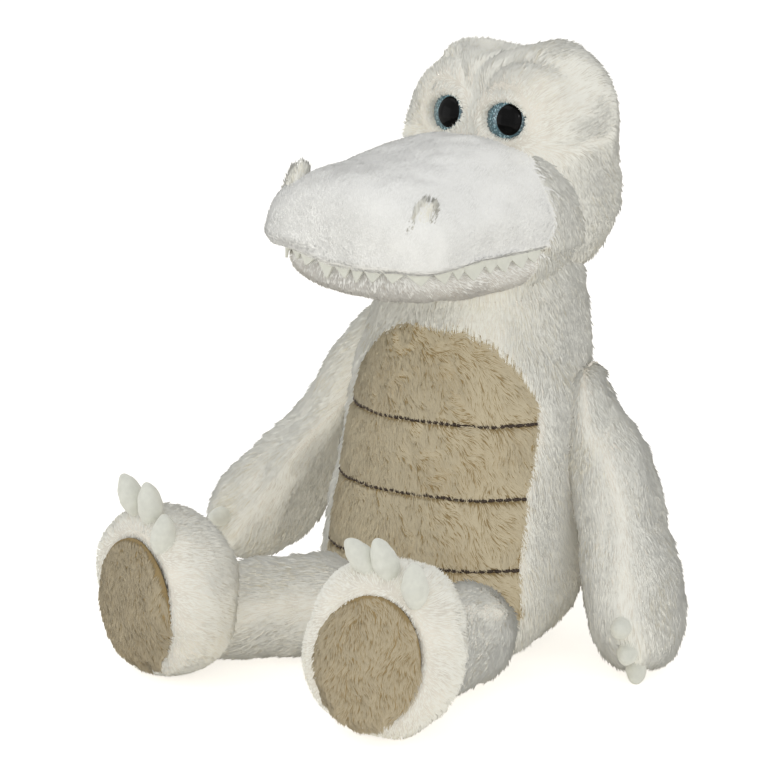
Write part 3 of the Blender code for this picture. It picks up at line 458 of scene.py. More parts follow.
class Head(Bag):
    form = HEAD
    place = Place((0.0, NECK_HEIGHT * math.tan(LEAN), NECK_HEIGHT), turned(HEAD_TURN, "Z"))

    def shape(self, grow, turn, climb):
        """The head's form with two lobes on its crown, dents for the eyes, and set back."""
        points = form_points(grown(HEAD, grow), turn, climb)
        x, y, z = points[..., 0], points[..., 1], points[..., 2]
        crown = np.clip((z - HEAD.bottom) / HEAD.height, 0, 1) ** 4
        lobe = bell(np.abs(x) - LOBE_SPACING, LOBE_SPREAD)
        along = bell(y, LOBE_LENGTH)
        off_eye = np.hypot(np.abs(x) - EYE_SPACING, z - EYE_HEIGHT)
        dent = bell(off_eye, EYE_DENT_SPREAD)
        points[..., 1] = y + EYE_DENT * dent * np.clip(-y / HEAD.half_depth, 0, 1) + HEAD_SET_BACK
        points[..., 2] = z + LOBE_HEIGHT * crown * lobe * along
        return points

    def covers(self, points, grow):
        return form_holds(grown(HEAD, grow), points - np.array([0.0, HEAD_SET_BACK, 0.0]))


class Snout(Bag):
    form = SNOUT
    place = Head.place

    def shape(self, grow, turn, climb):
        """The snout's form laid along -Y, high above the mouth line and nearly flat below it."""
        form = grown(SNOUT, grow)
        points = form_points(form, turn, climb)
        across, up, along = points[..., 0], points[..., 1], points[..., 2]
        reach = np.where(up > 0, form.half_depth, SNOUT_SAG + grow)
        height = MOUTH_HEIGHT + up * reach / form.half_depth
        return np.stack([across, HEAD_SET_BACK - along, height], axis=-1)

    def covers(self, points, grow):
        form = grown(SNOUT, grow)
        rise = points[..., 2] - MOUTH_HEIGHT
        up = np.where(rise > 0, rise, rise * form.half_depth / (SNOUT_SAG + grow))
        laid = np.stack([points[..., 0], up, HEAD_SET_BACK - points[..., 1]], axis=-1)
        return form_holds(form, laid)


class Jaw(Bag):
    form = JAW
    place = Head.place
    rim = -SNOUT_SAG - SEAM_GAP - JAW_FLAT

    def reaches(self, form, grow):
        return max(JAW_FLAT + grow, SEAM_GAP), form.half_depth + self.rim

    def shape(self, grow, turn, climb):
        """A dish laid along -Y under the mouth line."""
        form = grown(JAW, grow)
        points = form_points(form, turn, climb)
        across, up, along = points[..., 0], points[..., 1], points[..., 2]
        above, below = self.reaches(form, grow)
        height = MOUTH_HEIGHT + self.rim + up * np.where(up > 0, above, below) / form.half_depth
        return np.stack([across, HEAD_SET_BACK - along, height], axis=-1)

    def covers(self, points, grow):
        form = grown(JAW, grow)
        above, below = self.reaches(form, grow)
        rise = points[..., 2] - MOUTH_HEIGHT - self.rim
        up = rise * form.half_depth / np.where(rise > 0, above, below)
        laid = np.stack([points[..., 0], up, HEAD_SET_BACK - points[..., 1]], axis=-1)
        return form_holds(form, laid)


class Arm(Bag):
    form = ARM

    def __init__(self, name):
        self.side = SIDES[name]
        upright = math.cos(ARM_OPENS_OUT[name]) * math.cos(ARM_FORWARD)
        height = (ARM_LENGTH - ARM_ABOVE_SHOULDER) * upright + HAND_CLEARANCES[name]
        share = (height - TORSO.bottom) / TORSO.height
        girth = girth_at(TORSO, share)
        wide = TORSO.half_width * float(eased(share, TORSO.shares, 1)) * girth
        deep = TORSO.half_depth * float(eased(share, TORSO.shares, 2)) * girth
        beside = (1 - (SHOULDER_BACK / deep) ** TORSO.section) ** (1 / TORSO.section)
        out = wide * beside - SHOULDER_SEAT
        self.place = Place(
            (self.side * out, height * math.tan(LEAN) + SHOULDER_BACK, height),
            turned(self.side * ARM_OPEN_BACK, "Z")
            @ turned(-self.side * ARM_OPENS_OUT[name], "Y")
            @ turned(-ARM_FORWARD, "X"),
        )

    def shape(self, grow, turn, climb):
        """The arm's form curved outwards on its way down, and flat where it lies on the torso."""
        points = form_points(grown(ARM, grow), turn, climb)
        share = np.clip((points[..., 2] - ARM.bottom) / ARM.height, 0, 1)
        out = points[..., 0] + ARM.half_width * eased(share, ARM.shares, 3)
        points[..., 0] = self.side * np.maximum(out, 0.0008)
        return points

    def covers(self, points, grow):
        straight = points.copy()
        share = np.clip((points[..., 2] - ARM.bottom) / ARM.height, 0, 1)
        straight[..., 0] = self.side * points[..., 0] - ARM.half_width * eased(share, ARM.shares, 3)
        return form_holds(grown(ARM, grow), straight) & (self.side * points[..., 0] > 0)


class Capsule(Bag):
    """A ball at the joint whose outer half is carried along -Y, tapering to its end."""

    def __init__(self, place, radius, length, end_share):
        self.place = place
        self.radius = radius
        self.length = length
        self.end_share = end_share

    def shape(self, grow, turn, climb):
        """Climb runs over the ball's inner half, then the tapering tube, then the round end."""
        radius = self.radius + grow
        end = radius * self.end_share
        inner = np.clip(climb / 0.5 + 1, -1, 0) * math.pi / 2
        tube = np.clip(climb / 0.9 + 5 / 9, 0, 1)
        outer = np.clip((climb - 0.4) / 0.6, 0, 1) * math.pi / 2
        along = radius * np.sin(inner) + self.length * tube + end * np.sin(outer)
        round_to = (radius + (end - radius) * tube) * np.cos(inner) * np.cos(outer)
        return np.stack([round_to * np.cos(turn), -along, round_to * np.sin(turn)], axis=-1)

    def covers(self, points, grow):
        radius = self.radius + grow
        along = np.clip(-points[..., 1], 0, self.length)
        off = np.sqrt(points[..., 0] ** 2 + points[..., 2] ** 2 + (-points[..., 1] - along) ** 2)
        return off < radius * (1 + (self.end_share - 1) * along / self.length)


class Foot(Bag):
    form = FOOT

    def __init__(self, name, leg):
        roll = turned(FOOT_ROLLS[name], "Y")
        turn, climb = np.meshgrid(np.linspace(0, 2 * math.pi, 120), np.linspace(-0.99, 0.99, 80))
        low = (self.shape(0.0, turn, climb) @ roll.T)[..., 2].min()
        ankle = (0.0, -FOOT_START, -low - FLAT_DEPTH - leg.at[2])
        self.place = leg.then(ankle, turned(FOOT_TURNS[name], "Z") @ roll)

    def shape(self, grow, turn, climb):
        """The foot's form laid along -Y with its depth upright."""
        points = form_points(grown(FOOT, grow), turn, climb)
        return np.stack([points[..., 0], -points[..., 2], points[..., 1]], axis=-1)

    def covers(self, points, grow):
        laid = np.stack([points[..., 0], points[..., 2], -points[..., 1]], axis=-1)
        return form_holds(grown(FOOT, grow), laid)


TORSO_BAG = Torso()
HEAD_BAG = Head()
SNOUT_BAG = Snout()
JAW_BAG = Jaw()
NECK_BAG = Capsule(Place(Head.place.at), NECK_RADIUS, SEAM_GAP, 1.0)
ARM_BAGS = {name: Arm(name) for name in SIDES}
LEG_BAGS = {}
FOOT_BAGS = {}
for _name, _side in SIDES.items():
    _hip_at = (_side * HIP_OUT, -HIP_FORWARD, LEG_RADIUS - FLAT_DEPTH)
    _hip = Place(_hip_at, turned(_side * LEG_SPLAYS[_name], "Z"))
    LEG_BAGS[_name] = Capsule(_hip, LEG_RADIUS, LEG_LENGTH, LEG_END_SHARE)
    FOOT_BAGS[_name] = Foot(_name, _hip)
_root = Place((0.0, TAIL_BACK, TAIL_RADIUS - FLAT_DEPTH), turned(math.pi, "Z"))
TAIL_BAG = Capsule(_root, TAIL_RADIUS, TAIL_LENGTH, TAIL_END_SHARE)


# numpy surfaces


def unit(vectors):
    return vectors / np.maximum(np.linalg.norm(vectors, axis=-1, keepdims=True), 1e-12)


def ripple(points, size, seed):
    """A smooth field of about -1 to 1: waves of one length crossing in 14 seeded directions."""
    rng = np.random.default_rng(seed)
    ways = unit(rng.normal(size=(14, 3))) * (2 * math.pi / size) * rng.uniform(0.6, 1.4, (14, 1))
    starts = rng.uniform(0, 2 * math.pi, 14)
    return np.cos(points @ ways.T + starts).sum(axis=-1) / math.sqrt(14)


def round_turns(count):
    """Angles at even steps all the way round."""
    return np.arange(count) * 2 * math.pi / count


def smooth_step(value, low, high):
    """0 up to low and 1 from high, on a smooth cubic between them."""
    share = np.clip((value - low) / (high - low), 0, 1)
    return share * share * (3 - 2 * share)


def put_mesh(name, points, loops, starts, finish, smooth=True):
    """A mesh from numpy arrays: loops are corner vertices and starts where each face begins."""
    mesh = bpy.data.meshes.new(name)
    mesh.vertices.add(len(points))
    mesh.vertices.foreach_set("co", np.ascontiguousarray(points, np.float32).ravel())
    mesh.loops.add(len(loops))
    mesh.loops.foreach_set("vertex_index", np.ascontiguousarray(loops, np.int32))
    mesh.polygons.add(len(starts))
    mesh.polygons.foreach_set("loop_start", np.ascontiguousarray(starts, np.int32))
    mesh.update(calc_edges=True)
    if smooth:
        mesh.shade_smooth()
    mesh.materials.append(finish)
    made = bpy.data.objects.new(name, mesh)
    bpy.context.scene.collection.objects.link(made)
    return made


def volume_of(points, faces):
    """Six times the volume that faces enclose with the origin, above 0 where they face out."""
    a, b, c = (points[faces[:, i]] for i in range(3))
    volume = np.einsum("ij,ij->i", a, np.cross(b, c)).sum()
    if faces.shape[1] == 4:
        d = points[faces[:, 3]]
        volume += np.einsum("ij,ij->i", a, np.cross(c, d)).sum()
    return volume


def closed_mesh(name, grid, finish):
    """Rows of points round a form, joined by quads, each end drawn to a point in its middle."""
    rows, sides = grid.shape[:2]
    count = rows * sides
    points = np.concatenate([grid.reshape(-1, 3), [grid[0].mean(axis=0)], [grid[-1].mean(axis=0)]])
    here = np.arange(count).reshape(rows, sides)
    beside = np.roll(here, -1, axis=1)
    quads = np.stack([here[:-1], beside[:-1], beside[1:], here[1:]], axis=-1).reshape(-1, 4)
    low = np.stack([beside[0], here[0], np.full(sides, count)], axis=-1)
    high = np.stack([here[-1], beside[-1], np.full(sides, count + 1)], axis=-1)
    fans = np.concatenate([low, high])
    if volume_of(points, quads) + volume_of(points, fans) < 0:
        quads = quads[:, ::-1]
        fans = fans[:, ::-1]
    loops = np.concatenate([quads.ravel(), fans.ravel()])
    starts = np.concatenate([np.arange(len(quads)) * 4, len(quads) * 4 + np.arange(len(fans)) * 3])
    return put_mesh(name, points, loops, starts, finish)


def sheet_mesh(name, grid, finish, thickness):
    """An open grid of points given a wall, so that it closes all round."""
    rows, sides = grid.shape[:2]
    here = np.arange(rows * sides).reshape(rows, sides)
    quads = np.stack([here[:-1, :-1], here[:-1, 1:], here[1:, 1:], here[1:, :-1]], axis=-1)
    starts = np.arange(quads.size // 4) * 4
    made = put_mesh(name, grid.reshape(-1, 3), quads.ravel(), starts, finish)
    wall = made.modifiers.new("wall", "SOLIDIFY")
    wall.thickness = thickness
    wall.offset = -1.0
    return made


def normals_of(grid, around=True):
    """Outward normals of a grid: its steps round and its steps along, crossed."""
    if around:
        sideways = np.roll(grid, -1, axis=1) - np.roll(grid, 1, axis=1)
    else:
        sideways = np.gradient(grid, axis=1)
    normals = unit(np.cross(sideways, np.gradient(grid, axis=0)))
    middle = grid.reshape(-1, 3).mean(axis=0)
    if (normals * (grid - middle)).sum() < 0:
        normals = -normals
    return normals


# A surface that pile grows on: its grid of points, their normals, and whether its rows close
Skin = namedtuple("Skin", "grid normals around")


def bag_skin(bag, depth, sides, rows, relief=None, high=1.0):
    """The cloth of a bag, on a grid of sides round it and rows from pole to pole: its form
    drawn in by the depth of the pile, then moved along its normals by relief, a function of
    the points in the bag's frame. It is cut off at a high climb where one is given."""
    climbs = climbs_of(bag.form, rows) if bag.form else np.linspace(-0.985, 0.985, rows)
    if high < 1.0:
        climbs = np.append(climbs[climbs < high - 0.004], high)
    turn, climb = np.meshgrid(round_turns(sides), climbs)
    grid = bag.world(-depth, turn, climb)
    normals = normals_of(grid)
    if relief:
        grid = grid + normals * relief(bag.place.into(grid))[..., None]
        normals = normals_of(grid)
    return Skin(grid, normals, True)


def scrambled(cells, salt):
    """A number from 0 to 1 for each whole-numbered cell, the same each time."""
    mixed = cells[..., 0] * 374761393 + cells[..., 1] * 668265263
    mixed = (mixed + cells[..., 2] * 1103515245 + salt * 974634777) & 0xFFFFFFFF
    mixed = ((mixed ^ (mixed >> 13)) * 1274126177) & 0xFFFFFFFF
    mixed = ((mixed ^ (mixed >> 15)) * 668265263) & 0xFFFFFFFF
    return (mixed ^ (mixed >> 16)) / 2.0**32


def tufts_of(points, size):
    """The tuft each point belongs to: the nearest of one seeded centre in each cubic cell."""
    home = np.floor(points / size).astype(np.int64)
    best = np.full(len(points), np.inf)
    owner = np.zeros_like(home)
    for step in np.ndindex(3, 3, 3):
        cell = home + np.array(step) - 1
        centre = (cell + np.stack([scrambled(cell, salt) for salt in (1, 2, 3)], axis=-1)) * size
        off = ((points - centre) ** 2).sum(axis=-1)
        closer = off < best
        best = np.where(closer, off, best)
        owner[closer] = cell[closer]
    low = owner.min(axis=0)
    span = owner.max(axis=0) - low + 1
    key = ((owner[:, 0] - low[0]) * span[1] + owner[:, 1] - low[1]) * span[2] + owner[:, 2] - low[2]
    return np.unique(key, return_inverse=True)[1], owner


def scatter(skin, spacing, rng):
    """Roots spread evenly over a skin: a quad is drawn by its area and a place in it at random."""
    if skin.around:
        parts = (skin.grid, skin.normals)
        wrapped = [np.concatenate([part, part[:, :1]], axis=1) for part in parts]
    else:
        wrapped = [skin.grid, skin.normals]

    def corners(part):
        return part[:-1, :-1], part[:-1, 1:], part[1:, 1:], part[1:, :-1]

    a, b, c, d = (corner.reshape(-1, 3) for corner in corners(wrapped[0]))
    areas = np.linalg.norm(np.cross(c - a, d - b), axis=1) / 2
    total = np.cumsum(areas)
    count = int(total[-1] / spacing**2)
    pick = np.minimum(np.searchsorted(total, rng.random(count) * total[-1]), len(total) - 1)
    s = rng.random((count, 1))
    t = rng.random((count, 1))

    def blended(part):
        a, b, c, d = (corner.reshape(-1, 3)[pick] for corner in corners(part))
        return (a * (1 - s) + b * s) * (1 - t) + (d * (1 - s) + c * s) * t

    return blended(wrapped[0]), unit(blended(wrapped[1]))


def mean_of(values, group):
    """The mean of the values in each group, given back to each member."""
    counts = np.bincount(group)
    sums = np.stack([np.bincount(group, values[:, axis]) for axis in range(3)], axis=1)
    return (sums / counts[:, None])[group]


# A pile: a hair's length and width, the spacing of roots, how far hairs lean from the normal
# and wander from the flow in radians, the tufts' width and how far tips are pulled to them
Pile = namedtuple("Pile", "length width spacing lean wander tuft pull")


def grow_pile(
    name, body, skin, pile, flow, finish, seed, trim=None, covered=(), halves=None
):
    """Pile on a skin, each hair a closed sliver of four triangles: a root, two points at its
    widest halfway along, and a tip. A hair leans from the normal along the flow, more past its
    middle, so the sliver has a thickness. Its flow wanders in smooth swirls, and its tip is
    pulled to the mean tip of its tuft. Shading normals lie mostly along the skin's, so the pile
    shades as one surface. Trim gives the share of its length that a hair keeps at its root, and
    no hair grows inside a covered bag grown by its amount. Halves is a frame whose two sides
    become a left and a right piece."""
    rng = np.random.default_rng(seed)
    roots, normals = scatter(skin, pile.spacing, rng)
    share = np.ones(len(roots)) if trim is None else trim(roots)
    kept = share > SHORTEST_SHARE
    outer = roots + normals * pile.length * 0.35
    for bag, grow in covered:
        kept &= ~bag.holds(outer, grow)
    roots, normals, share = roots[kept], normals[kept], share[kept]
    tuft, owner = tufts_of(roots, pile.tuft)
    coarse = tufts_of(roots + 0.3 * pile.tuft, pile.tuft * WIDE_TUFT)[0]

    along = flow(roots)
    along = unit(along - normals * (along * normals).sum(axis=1, keepdims=True))
    swirl = ripple(roots, 0.030, seed + 1) * 0.7 + ripple(roots, 0.011, seed + 2) * 0.5
    swirl = pile.wander * swirl
    swirl += 0.14 * (scrambled(owner, 4) - 0.5) + rng.normal(0, 0.08, len(roots))
    along = along * np.cos(swirl)[:, None] + np.cross(normals, along) * np.sin(swirl)[:, None]
    lean = pile.lean * (1 + 0.06 * ripple(roots, 0.014, seed + 3))
    lean = lean + 0.08 * (scrambled(owner, 5) - 0.5)
    lean = lean + rng.normal(0, 0.08, len(roots))
    size = pile.length * share * rng.uniform(0.78, 1.08, len(roots))
    size = size * (0.93 + 0.14 * scrambled(owner, 6))

    def reach(angle):
        return normals * np.cos(angle)[:, None] + along * np.sin(angle)[:, None]

    half = size[:, None] / 2
    middle = roots + reach(np.clip(lean * MIDDLE_LEAN, 0, MIDDLE_LEAN_LIMIT)) * half
    tip = middle + reach(np.clip(lean * TIP_LEAN, 0, TIP_LEAN_LIMIT)) * half
    pull = pile.pull * rng.uniform(0.5, 1.2, (len(roots), 1))
    tip += (mean_of(tip, tuft) - tip) * pull
    middle += (mean_of(middle, tuft) - middle) * pull * MIDDLE_PULL
    tip += (mean_of(tip, coarse) - tip) * pull * WIDE_TUFT_PULL

    hair = unit(tip - roots)
    side = unit(np.cross(normals, hair))
    spin = rng.normal(0, 0.15, (len(roots), 1))
    side = side * np.cos(spin) + np.cross(hair, side) * np.sin(spin)
    wide = side * (pile.width * rng.uniform(0.35, 0.62, (len(roots), 1)))
    points = np.stack([roots, middle + wide, middle - wide, tip], axis=1)
    points[..., 2] = np.maximum(points[..., 2], FLOOR_CLEARANCE)
    facing = unit(np.cross(wide, hair))
    facing *= np.sign((facing * normals).sum(axis=1, keepdims=True))
    shading = unit(normals * 0.90 + facing * 0.12)
    tone = 0.55 + 0.09 * ripple(roots, 0.040, seed + 4) + 0.12 * (scrambled(owner, 7) - 0.5)
    tone = np.clip(tone + rng.normal(0, 0.10, len(roots)), 0.02, 0.98)

    groups = {name: np.ones(len(roots), bool)}
    if halves:
        to_left = halves.into(roots)[:, 0] >= 0
        groups = {name + "_left": to_left, name + "_right": ~to_left}
    for piece, chosen in groups.items():
        count = int(chosen.sum())
        corner = np.arange(count)[:, None] * 4
        faces = (corner + np.array([[0, 2, 1, 1, 2, 3, 0, 1, 3, 0, 3, 2]])).ravel()
        starts = np.arange(4 * count) * 3
        hairs = put_mesh(piece, points[chosen].reshape(-1, 3), faces, starts, finish)
        # Fine slivers in the light's way would speckle the fur, so the cloth alone casts shadow;
        # the shade between hairs is painted into their colour instead, darker at the root
        hairs.visible_shadow = False
        hairs.visible_diffuse = False
        custom = hairs.data.attributes.new("custom_normal", "FLOAT_VECTOR", "POINT")
        repeated = np.repeat(shading[chosen], 4, axis=0)
        custom.data.foreach_set("vector", repeated.astype(np.float32).ravel())
        layer = hairs.data.uv_layers.new(name="OFBake")
        across = tone[chosen][:, None] + np.array([[0.0, 0.012, -0.012, 0.0]])
        up = np.broadcast_to(np.array([[0.01, 0.5, 0.5, 0.99]]), across.shape)
        flat = np.stack([across, up], axis=-1).reshape(-1, 2)
        layer.data.foreach_set("uv", flat[faces].astype(np.float32).ravel())
        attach(hairs, body)


# finishes


def add(tree, kind, inputs=None, stops=None, **settings):
    """Adds a node with its settings. An input that is a socket is joined, and a value is set;
    stops are a colour ramp's places and colours."""
    node = tree.nodes.new(kind)
    for key, value in settings.items():
        setattr(node, key, value)
    for key, value in (inputs or {}).items():
        if isinstance(value, bpy.types.NodeSocket):
            tree.links.new(value, node.inputs[key])
        else:
            node.inputs[key].default_value = value
    if stops:
        ramp = node.color_ramp
        while len(ramp.elements) < len(stops):
            ramp.elements.new(0.5)
        for element, (at, shade) in zip(ramp.elements, stops):
            element.position = at
            element.color = (*shade, 1.0)
    return node


def fresh(name):
    """A new material, its node tree and its shader, in place of one of that name."""
    made = bpy.data.materials.get(name)
    if made:
        bpy.data.materials.remove(made)
    made = bpy.data.materials.new(name)
    made.use_nodes = True
    return made, made.node_tree, made.node_tree.nodes["Principled BSDF"]


def shade_of(colour, by):
    return tuple(min(1.0, part * by) for part in colour)


def ramp(tree, socket, *stops):
    return add(tree, "ShaderNodeValToRGB", {0: socket}, stops=stops).outputs[0]


def fur_finish(name, root, tip, warm):
    """Dyed polyester hair, matt with a soft sheen, paler at its tip. Its colour is painted darker
    and warmer towards its root as painted shade, for the little light that gets in between hairs,
    since the hairs cast no shadow. The hair's own map runs along it and across its tones."""
    made, tree, shader = fresh(name)
    spot = add(tree, "ShaderNodeUVMap", uv_map="OFBake")
    parts = add(tree, "ShaderNodeSeparateXYZ", {0: spot.outputs[0]})
    middle = tuple((r + 2 * t) / 3 for r, t in zip(root, tip))
    # Painted shade: this ramp darkens each hair from its tip to its root, in place of the shadow
    # that hairs don't cast.
    along = ramp(tree, parts.outputs[1], (0.0, root), (0.45, middle), (1.0, tip))
    tone = ramp(tree, parts.outputs[0], (0.1, warm), (0.5, (0.97,) * 3), (0.9, (1.0,) * 3))
    joined = {0: 1.0, 6: along, 7: tone}
    mixed = add(tree, "ShaderNodeMix", joined, data_type="RGBA", blend_type="MULTIPLY")
    tree.links.new(mixed.outputs[2], shader.inputs["Base Color"])
    shader.inputs["Roughness"].default_value = 0.85
    shader.inputs["Specular IOR Level"].default_value = 0.25
    return made


def solid_finish(name, texture, stops, roughness, specular=0.5, sheen=0.0, bump=None):
    """A finish whose tones follow one texture on Object coordinates: its kind, its inputs and
    its settings. A bump is a second texture's kind and inputs, its height and its strength."""
    made, tree, shader = fresh(name)
    spot = add(tree, "ShaderNodeTexCoord").outputs["Object"]
    kind, inputs, settings = texture
    pattern = add(tree, "ShaderNodeTex" + kind, {"Vector": spot, **inputs}, **settings)
    tree.links.new(ramp(tree, pattern.outputs[0], *stops), shader.inputs["Base Color"])
    if bump:
        kind, inputs, height, strength = bump
        fine = add(tree, "ShaderNodeTex" + kind, {"Vector": spot, **inputs})
        raised = {"Height": fine.outputs[0], "Distance": height, "Strength": strength}
        raised = add(tree, "ShaderNodeBump", raised)
        tree.links.new(raised.outputs[0], shader.inputs["Normal"])
    shader.inputs["Roughness"].default_value = roughness
    shader.inputs["Specular IOR Level"].default_value = specular
    shader.inputs["Sheen Weight"].default_value = sheen
    return made


def shades(tone, low, dark, high, bright):
    """Two stops of a ramp, a darker and a brighter shade of a tone."""
    return (low, shade_of(tone, dark)), (high, shade_of(tone, bright))


def cloth_finish(name, tone):
    """Knitted polyester backing, matt: rows of loops about 1 mm apart, seen only between hairs, its
    tone set darker than the hair's tips as painted shade down between the tufts.
    """
    clouds = "Noise", {"Scale": CLOTH_CLOUDS, "Detail": 3.0}, {}
    loops = "Voronoi", {"Scale": KNIT_ROWS}, 0.0004, 0.6
    return solid_finish(name, clouds, shades(tone, 0.3, 0.86, 0.7, 1.06), 0.95, 0.15, bump=loops)


def felt_finish(name, tone):
    """Pressed wool-blend felt, matt: short matted fibres that mottle it and fuzz its surface."""
    mottle = "Noise", {"Scale": FELT_MOTTLE, "Detail": 2.0}, {}
    fibres = "Noise", {"Scale": FELT_FIBRES, "Detail": 4.0, "Distortion": 1.5}, 0.0003, 0.5
    tones = shades(tone, 0.3, 0.93, 0.7, 1.03)
    return solid_finish(name, mottle, tones, 0.95, 0.2, sheen=0.2, bump=fibres)


def thread_finish(name, tone):
    """Twisted polyester thread with a slight sheen, its twist in bands about 2 mm apart."""
    twist = {"Scale": THREAD_TWISTS, "Distortion": 2.0}
    twist = "Wave", twist, {"bands_direction": "DIAGONAL"}
    return solid_finish(name, twist, shades(tone, 0.2, 0.5, 0.8, 1.3), 0.7)


def pupil_finish(name, tone):
    """Polished black acrylic with faint polishing haze."""
    hazy = tuple(part + 0.002 for part in tone)
    haze = "Noise", {"Scale": POLISH_HAZE}, {}
    return solid_finish(name, haze, ((0.4, tone), (0.7, hazy)), 0.10, 0.10)


def plastic_finish(name, tone):
    """Moulded polyethylene, waxy, with a fine moulded grain."""
    grain = "Noise", {"Scale": PLASTIC_GRAIN}, {}
    return solid_finish(name, grain, shades(tone, 0.3, 0.95, 0.7, 1.0), 0.45)


def iris_finish(name, body, rim, flake_glint):
    """Clear acrylic over glitter paint, all under one glossy coat: a teal ground that darkens to
    its rim, with flakes about half a millimetre across. Each flake gets its own shade, from darker
    than the ground up to the pale glitter colour: painted glints for the light the flakes catch,
    over their own pale blue."""
    made, tree, shader = fresh(name)
    spot = add(tree, "ShaderNodeUVMap", uv_map="OFBake")
    flakes = add(tree, "ShaderNodeTexVoronoi", {"Vector": spot.outputs[0], "Scale": FLAKES_ACROSS})
    parts = add(tree, "ShaderNodeSeparateColor", {0: flakes.outputs["Color"]})
    # Painted glints: each flake's random shade, dark to bright, stands in for the light it catches.
    flake_sparkle_stops = (0.0, shade_of(body, 0.55)), (0.45, body), (0.78, shade_of(body, 1.4))
    shine = ramp(tree, parts.outputs[0], *flake_sparkle_stops, (0.86, flake_glint))
    middle = {0: spot.outputs[0], 1: (0.5, 0.5, 0.0)}
    off = add(tree, "ShaderNodeVectorMath", middle, operation="DISTANCE").outputs["Value"]
    ring = ramp(tree, off, (0.36, (0.0,) * 3), (0.47, (1.0,) * 3))
    mixed = add(tree, "ShaderNodeMix", {0: ring, 6: shine, 7: (*rim, 1.0)}, data_type="RGBA")
    tree.links.new(mixed.outputs[2], shader.inputs["Base Color"])
    shader.inputs["Roughness"].default_value = 0.35
    shader.inputs["Coat Weight"].default_value = 1.0
    shader.inputs["Coat Roughness"].default_value = 0.04
    return made


FINISHES = {}


def finishes():
    """Every finish, made once, by the piece's own word for it."""
    if FINISHES:
        return FINISHES
    c = bpy.context.scene.croc_colours
    warm = linear("#EFE9DA")
    FINISHES.update(
        fur=fur_finish("white polyester faux fur", c.white_root_shade, c.white_tip, warm),
        pile=fur_finish("white short plush pile", c.short_root_shade, c.short_tip, linear("#F1F0EC")),
        # Painted shade: the jaw's pile is a darker copy of the snout's pile, for the shade under
        # the snout.
        jaw=fur_finish("jaw short plush pile with painted shade", c.jaw_root_shade, c.jaw_tip_shade, linear("#EFE6DC")),
        beige=fur_finish(
            "beige polyester faux fur", c.beige_root_shade, c.beige_tip, linear("#E3D6C2")
        ),
        # Painted shade: a darker copy of the belly's beige fur for the soles, which face down away
        # from the light.
        sole=fur_finish(
            "sole faux fur with painted shade", c.sole_root_shade, c.sole_tip_shade, linear("#D9C9B0")
        ),
        cloth=cloth_finish("white knitted backing", c.white_cloth_shade),
        pile_cloth=cloth_finish("short pile knitted backing", c.short_root_shade),
        beige_cloth=cloth_finish("beige knitted backing", c.beige_cloth),
        felt=felt_finish("white pressed felt", c.felt),
        thread=thread_finish("brown polyester thread", c.thread),
        iris=iris_finish("glitter iris under acrylic", c.iris, c.iris_rim, c.glitter),
        pupil=pupil_finish("polished black acrylic", c.pupil),
        plastic=plastic_finish("moulded polyethylene", c.plastic),
    )
    return FINISHES


# piles and flows


def white_pile(**changes):
    """The long white fur."""
    s = bpy.context.scene.croc_pile
    made = Pile(s.fur_length, s.hair_width, s.fur_spacing, 1.16, 0.24, s.tuft_size, 0.14)
    return made._replace(**changes)


def beige_pile(**changes):
    """The belly's and soles' fur, more tousled."""
    s = bpy.context.scene.croc_pile
    made = Pile(
        s.belly_length, s.hair_width, s.belly_spacing, 1.12, 0.70, s.tuft_size * 0.9, 0.36
    )
    return made._replace(**changes)


def short_pile(**changes):
    """The snout's and jaw's short pile, finer and laid flat."""
    s = bpy.context.scene.croc_pile
    width = s.hair_width * 0.8
    made = Pile(s.short_length, width, s.short_spacing, 1.14, 0.16, s.tuft_size * 0.6, 0.06)
    return made._replace(**changes)


def along_place(place, x, y, z):
    """A flow in one direction, given in the place's frame."""
    return lambda points: np.broadcast_to(place.way(np.array([x, y, z], float)), points.shape)


def lumps(points, big, high, small, low, seeds):
    """The unevenness of packed stuffing: broad ripples, big across and high, and finer ones."""
    return high * ripple(points, big, seeds[0]) + low * ripple(points, small, seeds[1])


def panel_half_width(z):
    """Half the belly panel's width: straight sides with round lower corners and an arch above."""
    low = np.clip((z - PANEL_BOTTOM) / (PANEL_SHOULDER - PANEL_BOTTOM), 0, 1)
    sides = PANEL_BOTTOM_HALF_WIDTH + low * (PANEL_SHOULDER_HALF_WIDTH - PANEL_BOTTOM_HALF_WIDTH)
    into = np.clip(PANEL_CORNER - (z - PANEL_BOTTOM), 0, PANEL_CORNER)
    sides = sides - PANEL_CORNER + np.sqrt(np.maximum(PANEL_CORNER**2 - into**2, 0))
    high = np.clip((z - PANEL_SHOULDER) / (PANEL_TOP - PANEL_SHOULDER), 0, 1)
    return sides * np.sqrt(1 - high**2)


def torso_front(x, z, proud):
    """The torso's front surface at a place across it and up it, moved out by proud."""
    share = (z - TORSO.bottom) / TORSO.height
    girth = girth_at(TORSO, share)
    wide = (TORSO.half_width + proud) * eased(share, TORSO.shares, 1) * girth
    deep = (TORSO.half_depth + proud) * eased(share, TORSO.shares, 2) * girth
    left = np.clip(1 - np.abs(x / wide) ** TORSO.section, 0, 1)
    return z * math.tan(LEAN) - deep * left ** (1 / TORSO.section)


def on_panel(points, margin, inset=0.0):
    """How far points of the torso lie inside the belly panel's outline drawn in by an inset, 0
    outside and 1 inside."""
    x, y, z = points[..., 0], points[..., 1], points[..., 2]
    inside = panel_half_width(z) - np.abs(x)
    inside = np.minimum(inside, np.minimum(z - PANEL_BOTTOM, PANEL_TOP - z)) - inset
    return smooth_step(inside, -margin, margin) * (y < z * math.tan(LEAN))


def eye_place(side):
    return Head.place.then(
        (side * EYE_SPACING, -EYE_REACH, EYE_HEIGHT),
        turned(side * EYE_TURN, "Z") @ turned(math.radians(90.0) - EYE_TILT, "X"),
    )


# pieces


